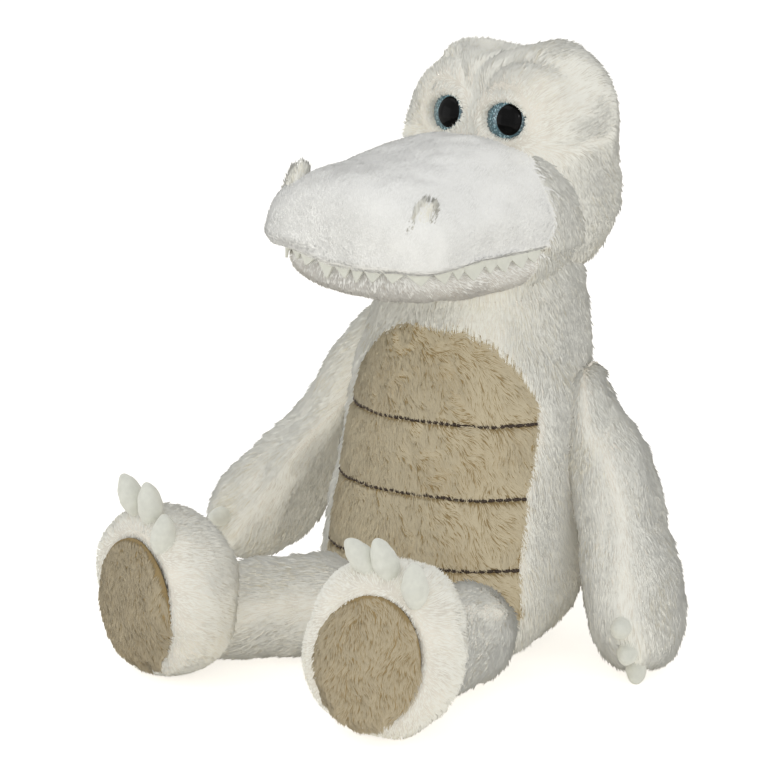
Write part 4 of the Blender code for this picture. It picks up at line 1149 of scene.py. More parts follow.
def settle(piece, body, nodes):
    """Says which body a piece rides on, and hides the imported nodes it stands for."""
    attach(piece, body)
    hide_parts(*nodes)


def finish_bag(name, body, skin, finish, nodes):
    """The closed cloth of a stuffed bag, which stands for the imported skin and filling."""
    settle(closed_mesh(name, skin.grid, finish), body, nodes)


def furry_bag(
    part, end, body, skin, nodes, flow, seed, trim=None, covered=(), pile=None, halves=None
):
    """A stuffed bag in white fur: its cloth, and the pile on it."""
    f = finishes()
    finish_bag(f"{part}_cloth{end}", body, skin, f["cloth"], nodes)
    pile = pile or white_pile()
    name = f"{part}_fur{end}"
    grow_pile(name, body, skin, pile, flow, f["fur"], seed, trim, covered, halves)


def make_torso():
    """The body's bag, sunk where the belly panel is sewn in, and its fur outside the panel."""
    depth = bpy.context.scene.croc_pile.fur_depth

    def relief(p):
        uneven = lumps(p, 0.050, 0.0011, 0.022, 0.0003, (11, 12))
        return uneven - 0.0035 * on_panel(p, 0.003, 0.002)

    def trim(p):
        share = 1 - on_panel(p, 0.0015, 0.0014)
        return np.where(p[..., 2] < 0.003, 0.5, 1.0) * share

    high = climb_at(grown(TORSO, -depth), TORSO_CLOTH_TOP)
    skin = bag_skin(TORSO_BAG, depth, 120, 96, relief, high=high)
    nodes = ("torso_skin", "torso_filling", "seat_pellet_bag")
    covered = [(bag, -0.001) for bag in (*LEG_BAGS.values(), TAIL_BAG, HEAD_BAG)]
    place = TORSO_BAG.place
    down = along_place(place, 0.0, 0.0, -1.0)
    furry_bag("torso", "", "torso", skin, nodes, down, 101, trim, covered, halves=place)


def belly_puff(u, z):
    """How the belly stands out between its sewn lines: the root of a parabola in each segment,
    less towards the panel's sides."""
    lines = [PANEL_BOTTOM, *STITCH_HEIGHTS.values(), PANEL_TOP]
    puff = np.zeros_like(z)
    for low, high in zip(lines, lines[1:]):
        share = np.clip((z - low) / (high - low), 0, 1)
        puff += np.sqrt(4 * share * (1 - share))
    return puff * (1 - np.abs(u) ** 6)


def make_belly():
    """The belly panel: the torso's front inside the panel's outline, standing out between the
    sewn lines. Its fur is short beside them and at its rim, and none grows over a line."""
    f = finishes()
    heights = np.linspace(PANEL_BOTTOM + 0.0004, PANEL_TOP - 0.0004, 130)
    u, z = np.meshgrid(np.linspace(-1, 1, 70), heights)
    x = u * panel_half_width(z)
    y = torso_front(x, z, -0.0040) - 0.0024 * belly_puff(u, z)
    grid = np.stack([x, y, z], axis=-1)
    cloth = sheet_mesh("belly_cloth", grid, f["beige_cloth"], 0.0012)
    settle(cloth, "torso", ("belly_panel",))

    def trim(p):
        past = np.array([p[..., 2] - height for height in STITCH_HEIGHTS.values()])
        off = np.abs(past).min(axis=0)
        above = np.where(past > 0, past, 1.0).min(axis=0)
        rim = panel_half_width(p[..., 2]) - np.abs(p[..., 0])
        rim = np.minimum(rim, PANEL_TOP - p[..., 2])
        share = 0.45 + 0.55 * smooth_step(above, 0.001, 0.009)
        share = share * (0.35 + 0.65 * smooth_step(rim, 0.001, 0.007))
        return np.where(off < 0.0006, 0.0, share)

    normals = normals_of(grid, False)
    if normals[..., 1].mean() > 0:
        normals = -normals
    skin = Skin(grid, normals, False)
    flow = along_place(TORSO_BAG.place, 0.55, 0.0, -0.8)
    covered = [(bag, 0.0) for bag in LEG_BAGS.values()]
    pile = beige_pile()
    grow_pile(
        "belly_fur", "torso", skin, pile, flow, f["beige"], 151, trim, covered
    )
    for name, height in STITCH_HEIGHTS.items():
        make_thread(name, height)


def make_thread(name, height):
    """A sewn line: a round thread laid along the groove, thick at the middle of each stitch and
    thin where it dives, wandering a little up and down."""
    half = 0.97 * float(panel_half_width(np.array(height)))
    steps, around = 420, 8
    x = np.linspace(-half, half, steps)
    stitch = np.abs(np.sin(x / 0.0034 * math.pi))
    rise = 0.0003 * ripple(np.stack([x, x * 0, x * 0], axis=-1), 0.011, 21)
    y = torso_front(x, np.full_like(x, height), -0.0026) + 0.0008 * (1 - stitch)
    centre = np.stack([x, y, height + rise], axis=-1)
    ahead = unit(np.gradient(centre, axis=0))
    up = np.broadcast_to(np.array([0.0, 0.0, 1.0]), ahead.shape)
    out = unit(np.cross(ahead, up))
    radius = 0.0010 * (0.40 + 0.60 * np.sqrt(stitch))
    angle = round_turns(around)
    ring = out[:, None] * np.cos(angle)[None, :, None] + up[:, None] * np.sin(angle)[None, :, None]
    grid = centre[:, None] + ring * radius[:, None, None]
    piece = closed_mesh("belly_thread_" + name, grid, finishes()["thread"])
    settle(piece, "torso", ("belly_stitch_" + name,))


def make_neck():
    """The short bag between the torso and the head."""
    def trim(p):
        return 1.0 * (p[..., 2] > TORSO_CLOTH_TOP - 0.005)

    skin = bag_skin(NECK_BAG, 0.0022, 72, 60)
    nodes = ("neck_skin", "neck_filling")
    covered = [(HEAD_BAG, -0.001), (SNOUT_BAG, -0.002), (JAW_BAG, -0.002)]
    down = along_place(NECK_BAG.place, 0.0, 0.0, -1.0)
    pile = white_pile(length=0.0085, lean=1.0)
    furry_bag("neck", "", "neck", skin, nodes, down, 171, trim, covered, pile)


def lid_off(across, up):
    """How far a place is from the middle of an eye's opening, 1 at the lids' edge."""
    return np.hypot((across - LOOK_ASIDE / 2) / LID_HALF_WIDTH, up / LID_HALF_HEIGHT)


def brow_off(x, z):
    """How far a place of the head's front is from the middle of the nearer brow."""
    return np.hypot(np.abs(x) - BROW_SPACING, z - BROW_HEIGHT)


def make_head():
    depth = bpy.context.scene.croc_pile.fur_depth

    def relief(p):
        """The seam down the forehead, the sockets and their rims, the line round each brow and
        the brow over it, the cheeks' creases and the crown's corners."""
        x, y, z = p[..., 0], p[..., 1], p[..., 2]
        front = smooth_step(HEAD_SET_BACK - y, 0.0, 0.015)
        high = smooth_step(z, 0.070, 0.082)
        seam = -0.0028 * bell(x, 0.0022) * high * smooth_step(0.075 - y, 0.0, 0.02)
        lids = [lid_off(x - side * EYE_SPACING, z - EYE_HEIGHT) for side in SIDES.values()]
        off_eye = np.min(lids, axis=0)
        socket = -0.0052 * smooth_step(1.10 - off_eye, 0.0, 0.16) * front
        socket = socket + 0.0016 * bell(off_eye - 1.32, 0.22) * front
        arc = -0.0020 * bell(brow_off(x, z) - 0.0225, 0.0022) * front
        arc = arc * smooth_step(z, 0.094, 0.102)
        above = np.hypot((np.abs(x) - 0.024) / 1.35, z - 0.1065)
        brow = 0.0038 * bell(above, 0.0085) * front
        uneven = lumps(p, 0.040, 0.0008, 0.016, 0.0002, (13, 14))
        creased = smooth_step(np.abs(x), 0.040, 0.052) * smooth_step(0.085 - z, 0.0, 0.01)
        level = z + 0.004 * ripple(p, 0.060, 15)
        creases = -0.0005 * bell(level % 0.014 - 0.007, 0.0012) * creased
        corner = 0.0034 * smooth_step(z, 0.066, 0.112) * smooth_step(x, 0.024, 0.046)
        corner = corner - 0.0030 * smooth_step(z, 0.095, 0.115) * smooth_step(-x, 0.010, 0.030)
        low_side = smooth_step(0.100 - z, 0.0, 0.05) * smooth_step(x, 0.040, 0.055)
        return seam + socket + arc + brow + uneven + creases + corner - 0.0018 * low_side

    skin = bag_skin(HEAD_BAG, depth, 180, 130, relief)
    eyes = [eye_place(side) for side in SIDES.values()]

    def trim(p):
        share = np.ones(p.shape[:-1])
        for place in eyes:
            local = place.into(p)
            off = lid_off(local[..., 0], local[..., 1])
            near = np.where(off < 1.0, 0.0, 0.45 + 0.55 * smooth_step(off, 1.1, 2.4))
            share = np.minimum(share, np.where(local[..., 2] > -0.02, near, 1.0))
        local = Head.place.into(p)
        patch = smooth_step(0.0235 - brow_off(local[..., 0], local[..., 2]), 0.0, 0.003)
        patch = patch * (local[..., 1] < HEAD_SET_BACK)
        return share * (1 - 0.30 * patch)

    def flow(p):
        """Down and a little back, but up and away from the middle over the front's top, and
        towards the eye on the lid over each one."""
        local = Head.place.into(p)
        up = smooth_step(HEAD_SET_BACK - local[..., 1], -0.030, 0.005)
        up = smooth_step(local[..., 2], 0.066, 0.086) * up
        down = np.stack([0 * up, 0.25 + 0 * up, -1 + 0 * up], axis=-1)
        away = np.stack([local[..., 0] / 0.05, 0.9 + 0 * up, 0.7 + 0 * up], axis=-1)
        way = down * (1 - up)[..., None] + away * up[..., None]
        for side in SIDES.values():
            from_eye = local - np.array([side * EYE_SPACING, -EYE_REACH, EYE_HEIGHT])
            off = np.linalg.norm(from_eye[..., [0, 2]], axis=-1)
            lid = unit(from_eye)[..., 2] * 0.8 + unit(from_eye)[..., 0] * 0.6
            over = smooth_step(0.0205 - off, 0.0, 0.004) * smooth_step(lid, 0.0, 0.5)
            over = (over * (local[..., 1] < HEAD_SET_BACK))[..., None]
            way = way * (1 - over) - unit(from_eye) * over * np.array([1.3, 0.0, 1.3])
        return Head.place.way(way)

    nodes = ("head_skin", "head_filling")
    covered = [(SNOUT_BAG, -0.0015), (JAW_BAG, -0.001), (TORSO_BAG, -0.001)]
    pile = white_pile(wander=0.20, length=0.0078)
    place = HEAD_BAG.place
    furry_bag("head", "", "head", skin, nodes, flow, 201, trim, covered, pile, halves=place)


def on_cheek(local):
    """How far places of the head's frame lie under the cheek's long fur, 0 outside and 1 inside:
    it runs forward over the back of the snout's and the jaw's sides."""
    side = smooth_step(np.abs(local[..., 0]), 0.012, 0.052)
    low = smooth_step(MOUTH_HEIGHT + 0.010 - local[..., 2], 0.0, 0.010)
    reach = 0.006 + 0.035 * side + 0.007 * side * low
    return smooth_step(reach - (HEAD_SET_BACK - local[..., 1]), -0.0015, 0.0015)


def lip_lift(local):
    """How much higher the lip runs at the front of the snout's right side."""
    forward = smooth_step(HEAD_SET_BACK - local[..., 1], 0.080, 0.120)
    return 0.0045 * forward * smooth_step(-local[..., 0], 0.0, 0.040)


def off_cheek(points):
    return 1 - on_cheek(Head.place.into(points))


def make_snout():
    """The snout and the jaw under it, in short pile up to the cheeks' fur."""
    f = finishes()
    depth = bpy.context.scene.croc_pile.short_depth

    def snout_relief(p):
        forward = smooth_step(HEAD_SET_BACK - p[..., 1], 0.100, 0.135)
        high = smooth_step(p[..., 2], 0.045, 0.065)
        flat = bell(HEAD_SET_BACK - p[..., 1] - 0.092, 0.022) * high
        uneven = lumps(p, 0.060, 0.0006, 0.020, 0.0003, (16, 17))
        cheek = on_cheek(p)
        edge = 0.0012 * cheek - 0.0050 * cheek * (1 - cheek)
        return 0.0030 * forward - 0.0020 * flat + uneven + edge

    def lifted(p):
        low = smooth_step(MOUTH_HEIGHT + 0.006 - p[..., 2], 0.0, 0.008)
        return snout_relief(p) - lip_lift(p) * low

    snout = bag_skin(SNOUT_BAG, depth, 150, 110, lifted)
    nodes = ("snout_skin", "snout_filling")
    finish_bag("snout_cloth", "head", snout, f["pile_cloth"], nodes)
    jaw = bag_skin(JAW_BAG, depth, 120, 80, snout_relief)
    nodes = ("jaw_skin", "jaw_filling")
    finish_bag("jaw_cloth", "head", jaw, f["pile_cloth"], nodes)
    place = HEAD_BAG.place
    flow = along_place(place, 0.0, 1.0, 0.9)
    covered = [(HEAD_BAG, -0.002)]
    pile = short_pile()
    grow_pile(
        "snout_pile", "head", snout, pile, flow, f["pile"], 301, off_cheek, covered, place
    )
    flow = along_place(place, 0.0, 1.0, -0.35)
    covered = [(HEAD_BAG, -0.002), (SNOUT_BAG, -0.0005), (NECK_BAG, 0.0)]
    pile = short_pile(length=0.0036, spacing=0.00092)
    grow_pile("jaw_pile", "head", jaw, pile, flow, f["jaw"], 331, off_cheek, covered)


def make_cheeks():
    """The long fur of the cheeks where it runs over the back of the snout and the jaw."""
    depth = bpy.context.scene.croc_pile.short_depth
    fur = finishes()["fur"]
    pile = white_pile(length=0.0072, wander=0.20)
    flow = along_place(Head.place, 0.0, 0.15, -1.0)
    covered = [(HEAD_BAG, -0.002), (NECK_BAG, 0.0)]

    def trim(points):
        return on_cheek(Head.place.into(points))

    for name, bag, seed in (("snout", SNOUT_BAG, 341), ("jaw", JAW_BAG, 351)):
        skin = bag_skin(bag, depth, 150, 110, lambda p: 0.0012 * on_cheek(p))
        name = name + "_cheek_fur"
        grow_pile(name, "head", skin, pile, flow, fur, seed, trim, covered)


def make_nostrils():
    """Each nostril is a small pod of plush standing on the snout's front corner: a flattened
    ball, longest upwards, with a fold down its front where the fur is short."""
    f = finishes()
    for name, side in SIDES.items():
        middle = np.array([side * 1.0, 1.0, 1.0]) * NOSTRIL_MIDDLES[name]
        middle += np.array([0.0, HEAD_SET_BACK, MOUTH_HEIGHT])
        rise = unit(np.array([side * 0.12, 0.50, 0.86]))
        behind = np.array([-side * 0.45, 1.0, 0.0])
        behind = unit(behind - rise * (behind @ rise))
        across = np.cross(rise, behind)
        turn, climb = np.meshgrid(round_turns(48), np.linspace(-0.985, 0.985, 44))
        fold = bell(turn - 1.32 * math.pi, 0.34)
        radius = np.sqrt(1 - climb**2) ** 0.8 * (1 - 0.35 * fold)
        local = middle + rise * (climb * NOSTRIL_LENGTH / 2)[..., None]
        local = local + across * (radius * NOSTRIL_HALF_WIDTH * np.cos(turn))[..., None]
        local = local + behind * (radius * NOSTRIL_HALF_DEPTH * np.sin(turn))[..., None]
        grid = Head.place.out(local)
        cloth = closed_mesh("nostril_cloth_" + name, grid, f["pile_cloth"])
        settle(cloth, "head", ("nostril_flap_" + name,))
        front = Head.place.way(-behind)
        centre = Head.place.out(middle)
        edge = Head.place.way(across)

        def trim(points):
            ahead = (points - centre) @ front
            off = np.abs((points - centre) @ edge)
            return 1 - 0.75 * smooth_step(0.0022 - off, 0.0, 0.0010) * (ahead > 0)

        skin = Skin(grid, normals_of(grid), True)
        pile = white_pile(spacing=0.0006, length=0.0056, lean=0.95, wander=0.7)
        flow = along_place(Head.place, *(rise - 0.2 * behind))
        covered = [(SNOUT_BAG, -0.001)]
        piece = "nostril_pile_" + name
        grow_pile(piece, "head", skin, pile, flow, f["fur"], 361 + side, trim, covered)


def make_teeth():
    """One felt strip along the mouth, cut into points: its upper edge runs round the jaw's rim,
    and its lower edge falls to a tip near the middle of each tooth and rises between them. Teeth
    differ in width, length and tilt, and each leans out by its own little amount."""
    f = finishes()
    form = grown(JAW, FELT_THICKNESS + TOOTH_CLEARANCE)
    ahead = np.sin(np.linspace(0, math.pi / 2, 400))
    shares = TEETH_START_SHARE + (1 - TEETH_START_SHARE) * ahead
    across = form.half_width * eased(shares, form.shares, 1) * girth_at(form, shares)
    back = HEAD_SET_BACK - form.height * shares
    right = np.stack([-across, back], axis=1)
    left = np.stack([across, back], axis=1)[::-1]
    route = np.concatenate([right, left[1:]])
    steps = np.linalg.norm(np.diff(route, axis=0), axis=1)
    walked = np.concatenate([[0.0], np.cumsum(steps)])
    per_tooth, rows = 16, 14
    rng = np.random.default_rng(41)
    ends = np.arange(TOOTH_COUNT + 1) / TOOTH_COUNT
    ends[1:-1] += rng.uniform(-0.22, 0.22, TOOTH_COUNT - 1) / TOOTH_COUNT
    place_along = np.linspace(0, TOOTH_COUNT, TOOTH_COUNT * per_tooth + 1)
    tooth = np.minimum(place_along.astype(int), TOOTH_COUNT - 1)
    within = place_along - tooth
    peak = 0.5 + rng.uniform(-0.20, 0.20, TOOTH_COUNT)[tooth]
    drop = rng.uniform(0.78, 1.18, TOOTH_COUNT)[tooth]
    drop = drop * (1 - 0.28 * smooth_step(place_along / TOOTH_COUNT, 0.52, 0.66))
    flare = rng.uniform(-0.4, 1.0, TOOTH_COUNT)[tooth]
    rise = np.where(within < peak, within / peak, (1 - within) / (1 - peak))
    fall = TOOTH_BAND + (TOOTH_DROP - TOOTH_BAND) * drop * np.clip(rise, 0, 1) ** 0.95
    stops = np.interp(place_along, np.arange(TOOTH_COUNT + 1), ends) * walked[-1]
    x = np.interp(stops, walked, route[:, 0])
    y = np.interp(stops, walked, route[:, 1])
    ahead = unit(np.stack([np.gradient(x), np.gradient(y)], axis=-1))
    out = np.stack([ahead[:, 1], -ahead[:, 0]], axis=-1)
    depth = np.linspace(0, 1, rows)[:, None] * fall
    hang = np.clip(depth - TOOTH_BAND, 0, 1) / (TOOTH_DROP - TOOTH_BAND)
    spread = 0.0004 + (0.0018 * flare - 0.0006) * hang + 0.0007 * (tooth % 2)
    x = x + out[:, 0] * spread
    y = y + out[:, 1] * spread
    local = np.stack([x, y, MOUTH_HEIGHT - depth], axis=-1)
    local[..., 2] += lip_lift(local)
    grid = Head.place.out(local)
    piece = sheet_mesh("teeth", grid, f["felt"], 0.0013)
    piece.modifiers["wall"].offset = 0.0
    settle(piece, "head", ("teeth_strip",))


def make_eyes():
    """Each eye is turned: a flange, then a shallow spherical dome, with a flat back. The pupil is
    an oval of the same dome standing a little proud."""
    f = finishes()
    bow = (EYE_RADIUS**2 + EYE_DOME**2) / (2 * EYE_DOME)
    sweep = math.asin(EYE_RADIUS / bow)
    for name, side in SIDES.items():
        place = eye_place(side)
        angle = np.linspace(0.02, sweep, 24)
        radius = np.concatenate([bow * np.sin(angle), [EYE_RADIUS, EYE_RADIUS * 0.98, 0.004]])
        dome = EYE_FLANGE + EYE_DOME - bow + bow * np.cos(angle)
        height = np.concatenate([dome, [0.0004, 0.0, 0.0]])
        turn = round_turns(64)
        x = radius[:, None] * np.cos(turn)
        y = radius[:, None] * np.sin(turn)
        local = np.stack([x, y, np.broadcast_to(height[:, None], x.shape)], axis=-1)
        iris = closed_mesh("eye_iris_" + name, place.out(local), f["iris"])
        map_from_place(iris, place, EYE_RADIUS)
        settle(iris, "head", ("eye_" + name,))
        reach = np.concatenate([np.linspace(0.03, 1, 24), [1.0, 0.6]])
        x = PUPIL_HALF_WIDTH * reach[:, None] * np.cos(turn)
        y = PUPIL_HALF_HEIGHT * reach[:, None] * np.sin(turn)
        x = x + LOOK_ASIDE
        level = EYE_FLANGE + EYE_DOME - bow + np.sqrt(bow**2 - x**2 - y**2)
        proud = 0.0005 * np.sqrt(1 - np.linspace(0.03, 1, 24) ** 6)
        proud = np.concatenate([proud, [-0.0008, -0.0012]])
        grid = place.out(np.stack([x, y, level + proud[:, None]], axis=-1))
        pupil = closed_mesh("eye_pupil_" + name, grid, f["pupil"])
        settle(pupil, "head", ("pupil_" + name,))
        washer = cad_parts["eye_washer_" + name]
        for slot in washer.material_slots:
            slot.material = f["plastic"]


def map_from_place(piece, place, radius):
    """A flat map of a piece from in front of its place, its middle at one half."""
    mesh = piece.data
    points = np.empty(len(mesh.vertices) * 3, np.float32)
    mesh.vertices.foreach_get("co", points)
    corners = np.empty(len(mesh.loops), np.int32)
    mesh.loops.foreach_get("vertex_index", corners)
    flat = place.into(points.reshape(-1, 3).astype(float))[:, :2] / (2 * radius) + 0.5
    layer = mesh.uv_layers.new(name="OFBake")
    layer.data.foreach_set("uv", flat[corners].astype(np.float32).ravel())


def claw_piece(node, place, form, body):
    """A felt claw in the place of a packed one: its form, a little uneven."""
    turn, climb = np.meshgrid(round_turns(28), np.linspace(-0.98, 0.98, 26))
    local = form_points(form, turn, climb)
    local = local + 0.00025 * ripple(local, 0.006, 51)[..., None] * unit(local)
    piece = closed_mesh(node + "_felt", place.out(local), finishes()["felt"])
    settle(piece, body, (node,))


def make_arms():
    depth = bpy.context.scene.croc_pile.fur_depth
    for name, side in SIDES.items():
        bag = ARM_BAGS[name]

        def relief(p):
            """Uneven away from the torso, drawn in on its outer side as ARM_DRAWN_IN says; the
            left one fuller in front and lower at its cap."""
            uneven = lumps(p, 0.040, 0.0011, 0.018, 0.0003, (61 + side, 64 + side))
            flat = smooth_step(side * p[..., 0], 0.001, 0.006)
            outer = smooth_step(side * p[..., 0], 0.006, 0.018)
            top, middle = ARM_DRAWN_IN[name]
            drawn = top * smooth_step(p[..., 2], -0.050, 0.010)
            drawn = drawn + middle * bell(p[..., 2] + 0.070, 0.040)
            front = smooth_step(-p[..., 1], 0.002, 0.020)
            front = front * smooth_step(p[..., 2], -0.085, -0.030)
            cap = smooth_step(p[..., 2], 0.000, 0.016)
            own = (0.006 * front - 0.007 * cap) * (name == "left")
            return flat * uneven - outer * drawn + own

        def trim(p):
            local = bag.place.into(p)
            return 0.75 + 0.25 * smooth_step(side * local[..., 0], 0.001, 0.008)

        skin = bag_skin(bag, depth, 84, 96, relief)
        body = "arm_" + name
        nodes = (body + "_skin", body + "_filling")
        flow = along_place(bag.place, side * 0.15, 0.0, -1.0)
        covered = [(TORSO_BAG, 0.0)]
        seed = 401 + 40 * side
        furry_bag("arm", "_" + name, body, skin, nodes, flow, seed, trim, covered)
        middle = side * ARM.half_width * float(eased(0.0, ARM.shares, 3))
        for number in (1, 2, 3):
            angle = HAND_CLAW_TURN + (number - 2) * HAND_CLAW_FAN
            out = ARM.half_depth - HAND_CLAW.bottom - 2 * HAND_CLAW_EMBED
            heel = bag.place.then((middle, 0.0, ARM.bottom + ARM.half_depth), turned(angle, "X"))
            place = heel.then((0.0, 0.0, -out), np.identity(3))
            node = f"hand_claw_{name}_{number}"
            claw_piece(node, place, HAND_CLAW, body)


def make_legs():
    """Each leg's bag with its foot."""
    depth = bpy.context.scene.croc_pile.fur_depth
    for name, side in SIDES.items():
        leg = LEG_BAGS[name]
        foot = FOOT_BAGS[name]
        body = "leg_" + name

        def relief(p):
            return lumps(p, 0.035, 0.0009, 0.016, 0.0002, (71 + side, 74 + side))

        skin = bag_skin(leg, depth, 72, 80, relief)
        nodes = (body + "_skin", body + "_filling")
        flow = along_place(leg.place, 0.0, -1.0, -0.25)
        covered = [(TORSO_BAG, -0.002), (foot, -0.002)]
        seed = 501 + 40 * side
        furry_bag("leg", "_" + name, body, skin, nodes, flow, seed, None, covered)
        make_foot(name, side, foot, leg, depth)


def make_foot(name, side, foot, leg, depth):
    """A foot with a sole sewn into its dished front end, and three felt claws over it."""
    f = finishes()
    body = "leg_" + name
    front = -FOOT.height

    def oval_off(p):
        """Distance from the sole's middle as a share of its outline's, at the front end only."""
        across = (p[..., 0] + SOLE_SHIFTS[name]) / SOLE_HALF_WIDTH
        off = np.hypot(across, (p[..., 2] + SOLE_DROP) / SOLE_HALF_HEIGHT)
        return np.where(p[..., 1] < front / 2, off, 9.0)

    def relief(p):
        off = oval_off(p)
        seam = -0.0016 * bell(off - 1.03, 0.05)
        dish = -0.0045 * smooth_step(1.02 - off, 0.0, 0.06)
        uneven = lumps(p, 0.040, 0.0009, 0.018, 0.0002, (81 + side, 84 + side))
        slim = 0.0045 * smooth_step(p[..., 0], 0.010, 0.034)
        slim = slim - 0.0035 * smooth_step(-p[..., 0], 0.010, 0.034)
        slim = slim * (name == "left")
        return seam + dish + uneven - slim

    skin = bag_skin(foot, depth, 110, 96, relief)
    def trim(p):
        off = oval_off(foot.place.into(p))
        return np.where(off < 0.97, 0.0, 0.30 + 0.50 * smooth_step(off, 1.05, 1.7))

    def flow(p):
        local = foot.place.into(p)
        radial = np.stack([local[..., 0], 0.0 * local[..., 0], local[..., 2]], axis=-1)
        return foot.place.way(unit(radial) * 0.35 + np.array([0.0, 1.0, -0.6]))

    nodes = (f"foot_{name}_skin", f"foot_{name}_filling")
    covered = [(leg, -0.002)]
    seed = 601 + 40 * side
    furry_bag("foot", "_" + name, body, skin, nodes, flow, seed, trim, covered)
    reach, turn = np.meshgrid(np.linspace(0.02, 1.0, 40), round_turns(72), indexing="ij")
    x = SOLE_HALF_WIDTH * reach * np.cos(turn) - SOLE_SHIFTS[name]
    z = SOLE_HALF_HEIGHT * reach * np.sin(turn) - SOLE_DROP
    y = foot_front(x, z, -0.0028)
    grid = foot.place.out(np.stack([x, y, z], axis=-1))
    back = foot.place.out(np.stack([x, y + 0.0012, z], axis=-1))
    closed = np.concatenate([grid, back[::-1]], axis=0)
    patch = closed_mesh(f"sole_cloth_{name}", closed, f["beige_cloth"])
    settle(patch, body, (f"foot_{name}_sole",))
    normals = normals_of(grid)
    if (normals * foot.place.way(np.array([0.0, -1.0, 0.0]))).sum() < 0:
        normals = -normals
    skin = Skin(grid, normals, True)
    pile = beige_pile(length=0.0055, wander=0.8)
    flow = along_place(foot.place, 0.3, 0.0, -1.0)
    seed = 701 + 40 * side
    grow_pile(f"sole_fur_{name}", body, skin, pile, flow, f["sole"], seed)
    for number in (1, 2, 3):
        angle = side * TOE_CLAW_TURN + (number - 2) * TOE_CLAW_FAN
        out = FOOT.half_depth - TOE_CLAW.bottom - 2 * TOE_CLAW_EMBED
        shift = np.array(TOE_CLAW_SHIFTS[name][number - 1])
        at = shift + (0.0, TOE_CLAW_SET_BACK - FOOT.height, 0.0)
        root = foot.place.then(at, turned(angle, "Y"))
        place = root.then((0.0, 0.0, out), turned(TOE_CLAW_LEAN, "Y"))
        node = f"toe_claw_{name}_{number}"
        claw_piece(node, place, TOE_CLAW, body)


def foot_front(x, z, proud):
    """The foot's front surface over a place in front of it: shares of its length are tried from
    its middle to its end, and the one whose section just reaches the place is kept."""
    form = grown(FOOT, proud)
    shares = np.linspace(0.5, 1.0, 400)
    girth = girth_at(form, shares)
    wide = form.half_width * eased(shares, form.shares, 1) * girth + 1e-9
    deep = form.half_depth * eased(shares, form.shares, 2) * girth + 1e-9
    reach = np.abs(x[..., None] / wide) ** form.section
    reach = reach + np.abs(z[..., None] / deep) ** form.section
    last = (reach < 1).sum(axis=-1) - 1
    return -(form.bottom + form.height * shares[np.clip(last, 0, 399)])


def make_tail():
    """A short tapering tail."""
    def relief(p):
        return lumps(p, 0.035, 0.0010, 0.016, 0.0004, (91, 92))

    skin = bag_skin(TAIL_BAG, bpy.context.scene.croc_pile.fur_depth, 72, 90, relief)
    nodes = ("tail_skin", "tail_filling")
    flow = along_place(TAIL_BAG.place, 0.0, -1.0, -0.2)
    covered = [(TORSO_BAG, -0.002)]
    furry_bag("tail", "", "tail", skin, nodes, flow, 801, None, covered)


# stage

# Each lamp's place, width and share of the key lamp's power
LAMPS = {
    "key lamp": ((-0.7, -0.9, 2.2), 1.5, 1.0),
    "front lamp": ((0.95, -1.75, 0.80), 1.3, 0.36),
    "side lamp": ((1.50, -0.60, 0.50), 0.9, 0.20),
    "low lamp": ((-1.35, -1.05, 0.35), 0.9, 0.26),
    "catch light": ((0.80, -1.25, 0.95), 0.16, 0.16),
}
LAMPS_AIM = (0, 0, 0.14)
FLOOR_HALF_WIDTH = 3.0


def seen_share(tree, dim, *kinds):
    """A strength that is 1 on the kinds of ray named, such as Camera, and dim on the others."""
    ray = add(tree, "ShaderNodeLightPath")
    seen, *rest = (ray.outputs[f"Is {kind} Ray"] for kind in kinds)
    for other in rest:
        seen = add(tree, "ShaderNodeMath", {0: seen, 1: other}, operation="MAXIMUM").outputs[0]
    return add(tree, "ShaderNodeMapRange", {0: seen, 3: dim, 4: 1.0}).outputs[0]


def make_stage():
    """Camera, world, floor and lamps."""
    scene = bpy.context.scene
    s = scene.croc_stage
    lens = bpy.data.cameras.new("camera")
    lens.lens = s.lens
    lens.sensor_width = 36.0
    lens.clip_start = 0.05
    camera = bpy.data.objects.new("camera", lens)
    camera.location = s.camera_at
    aim = Vector(s.camera_aim) - Vector(s.camera_at)
    camera.rotation_euler = aim.to_track_quat("-Z", "Y").to_euler()
    scene.collection.objects.link(camera)
    scene.camera = camera

    world = bpy.data.worlds.new("studio")
    world.use_nodes = True
    scene.world = world
    tree = world.node_tree
    tree.nodes.clear()
    strength = seen_share(tree, s.world_light, "Camera", "Glossy", "Transmission")
    light = add(tree, "ShaderNodeBackground", {0: (1.0, 1.0, 1.0, 1.0), 1: strength})
    add(tree, "ShaderNodeOutputWorld", {0: light.outputs[0]})

    made, tree, shader = fresh("matt white studio floor")
    shader.inputs["Base Color"].default_value = (*s.floor_colour, 1.0)
    shader.inputs["Roughness"].default_value = 1.0
    shader.inputs["Specular IOR Level"].default_value = 0.0
    glow = seen_share(tree, s.floor_bounce, "Camera", "Glossy")
    tree.links.new(glow, shader.inputs["Emission Strength"])
    shader.inputs["Emission Color"].default_value = (0.50, 0.50, 0.50, 1.0)
    half = FLOOR_HALF_WIDTH
    corners = [(-half, -half, 0), (half, -half, 0), (half, half, 0), (-half, half, 0)]
    floor = put_mesh("floor", np.array(corners), np.arange(4), np.array([0]), made, False)

    for name, (at, size, share) in LAMPS.items():
        lamp = bpy.data.lights.new(name, "AREA")
        lamp.energy = s.key_power * share
        lamp.shape = "SQUARE"
        lamp.size = size
        held = bpy.data.objects.new(name, lamp)
        held.location = at
        aim = Vector(LAMPS_AIM) - Vector(at)
        held.rotation_euler = aim.to_track_quat("-Z", "Y").to_euler()
        scene.collection.objects.link(held)
    scene.view_settings.view_transform = "Standard"


# operators and panel


class CROC_OT_torso(bpy.types.Operator):
    """Cloth and fur of the torso"""

    bl_idname = "croc.torso"
    bl_label = "Torso"

    def execute(self, context):
        make_torso()
        return {"FINISHED"}


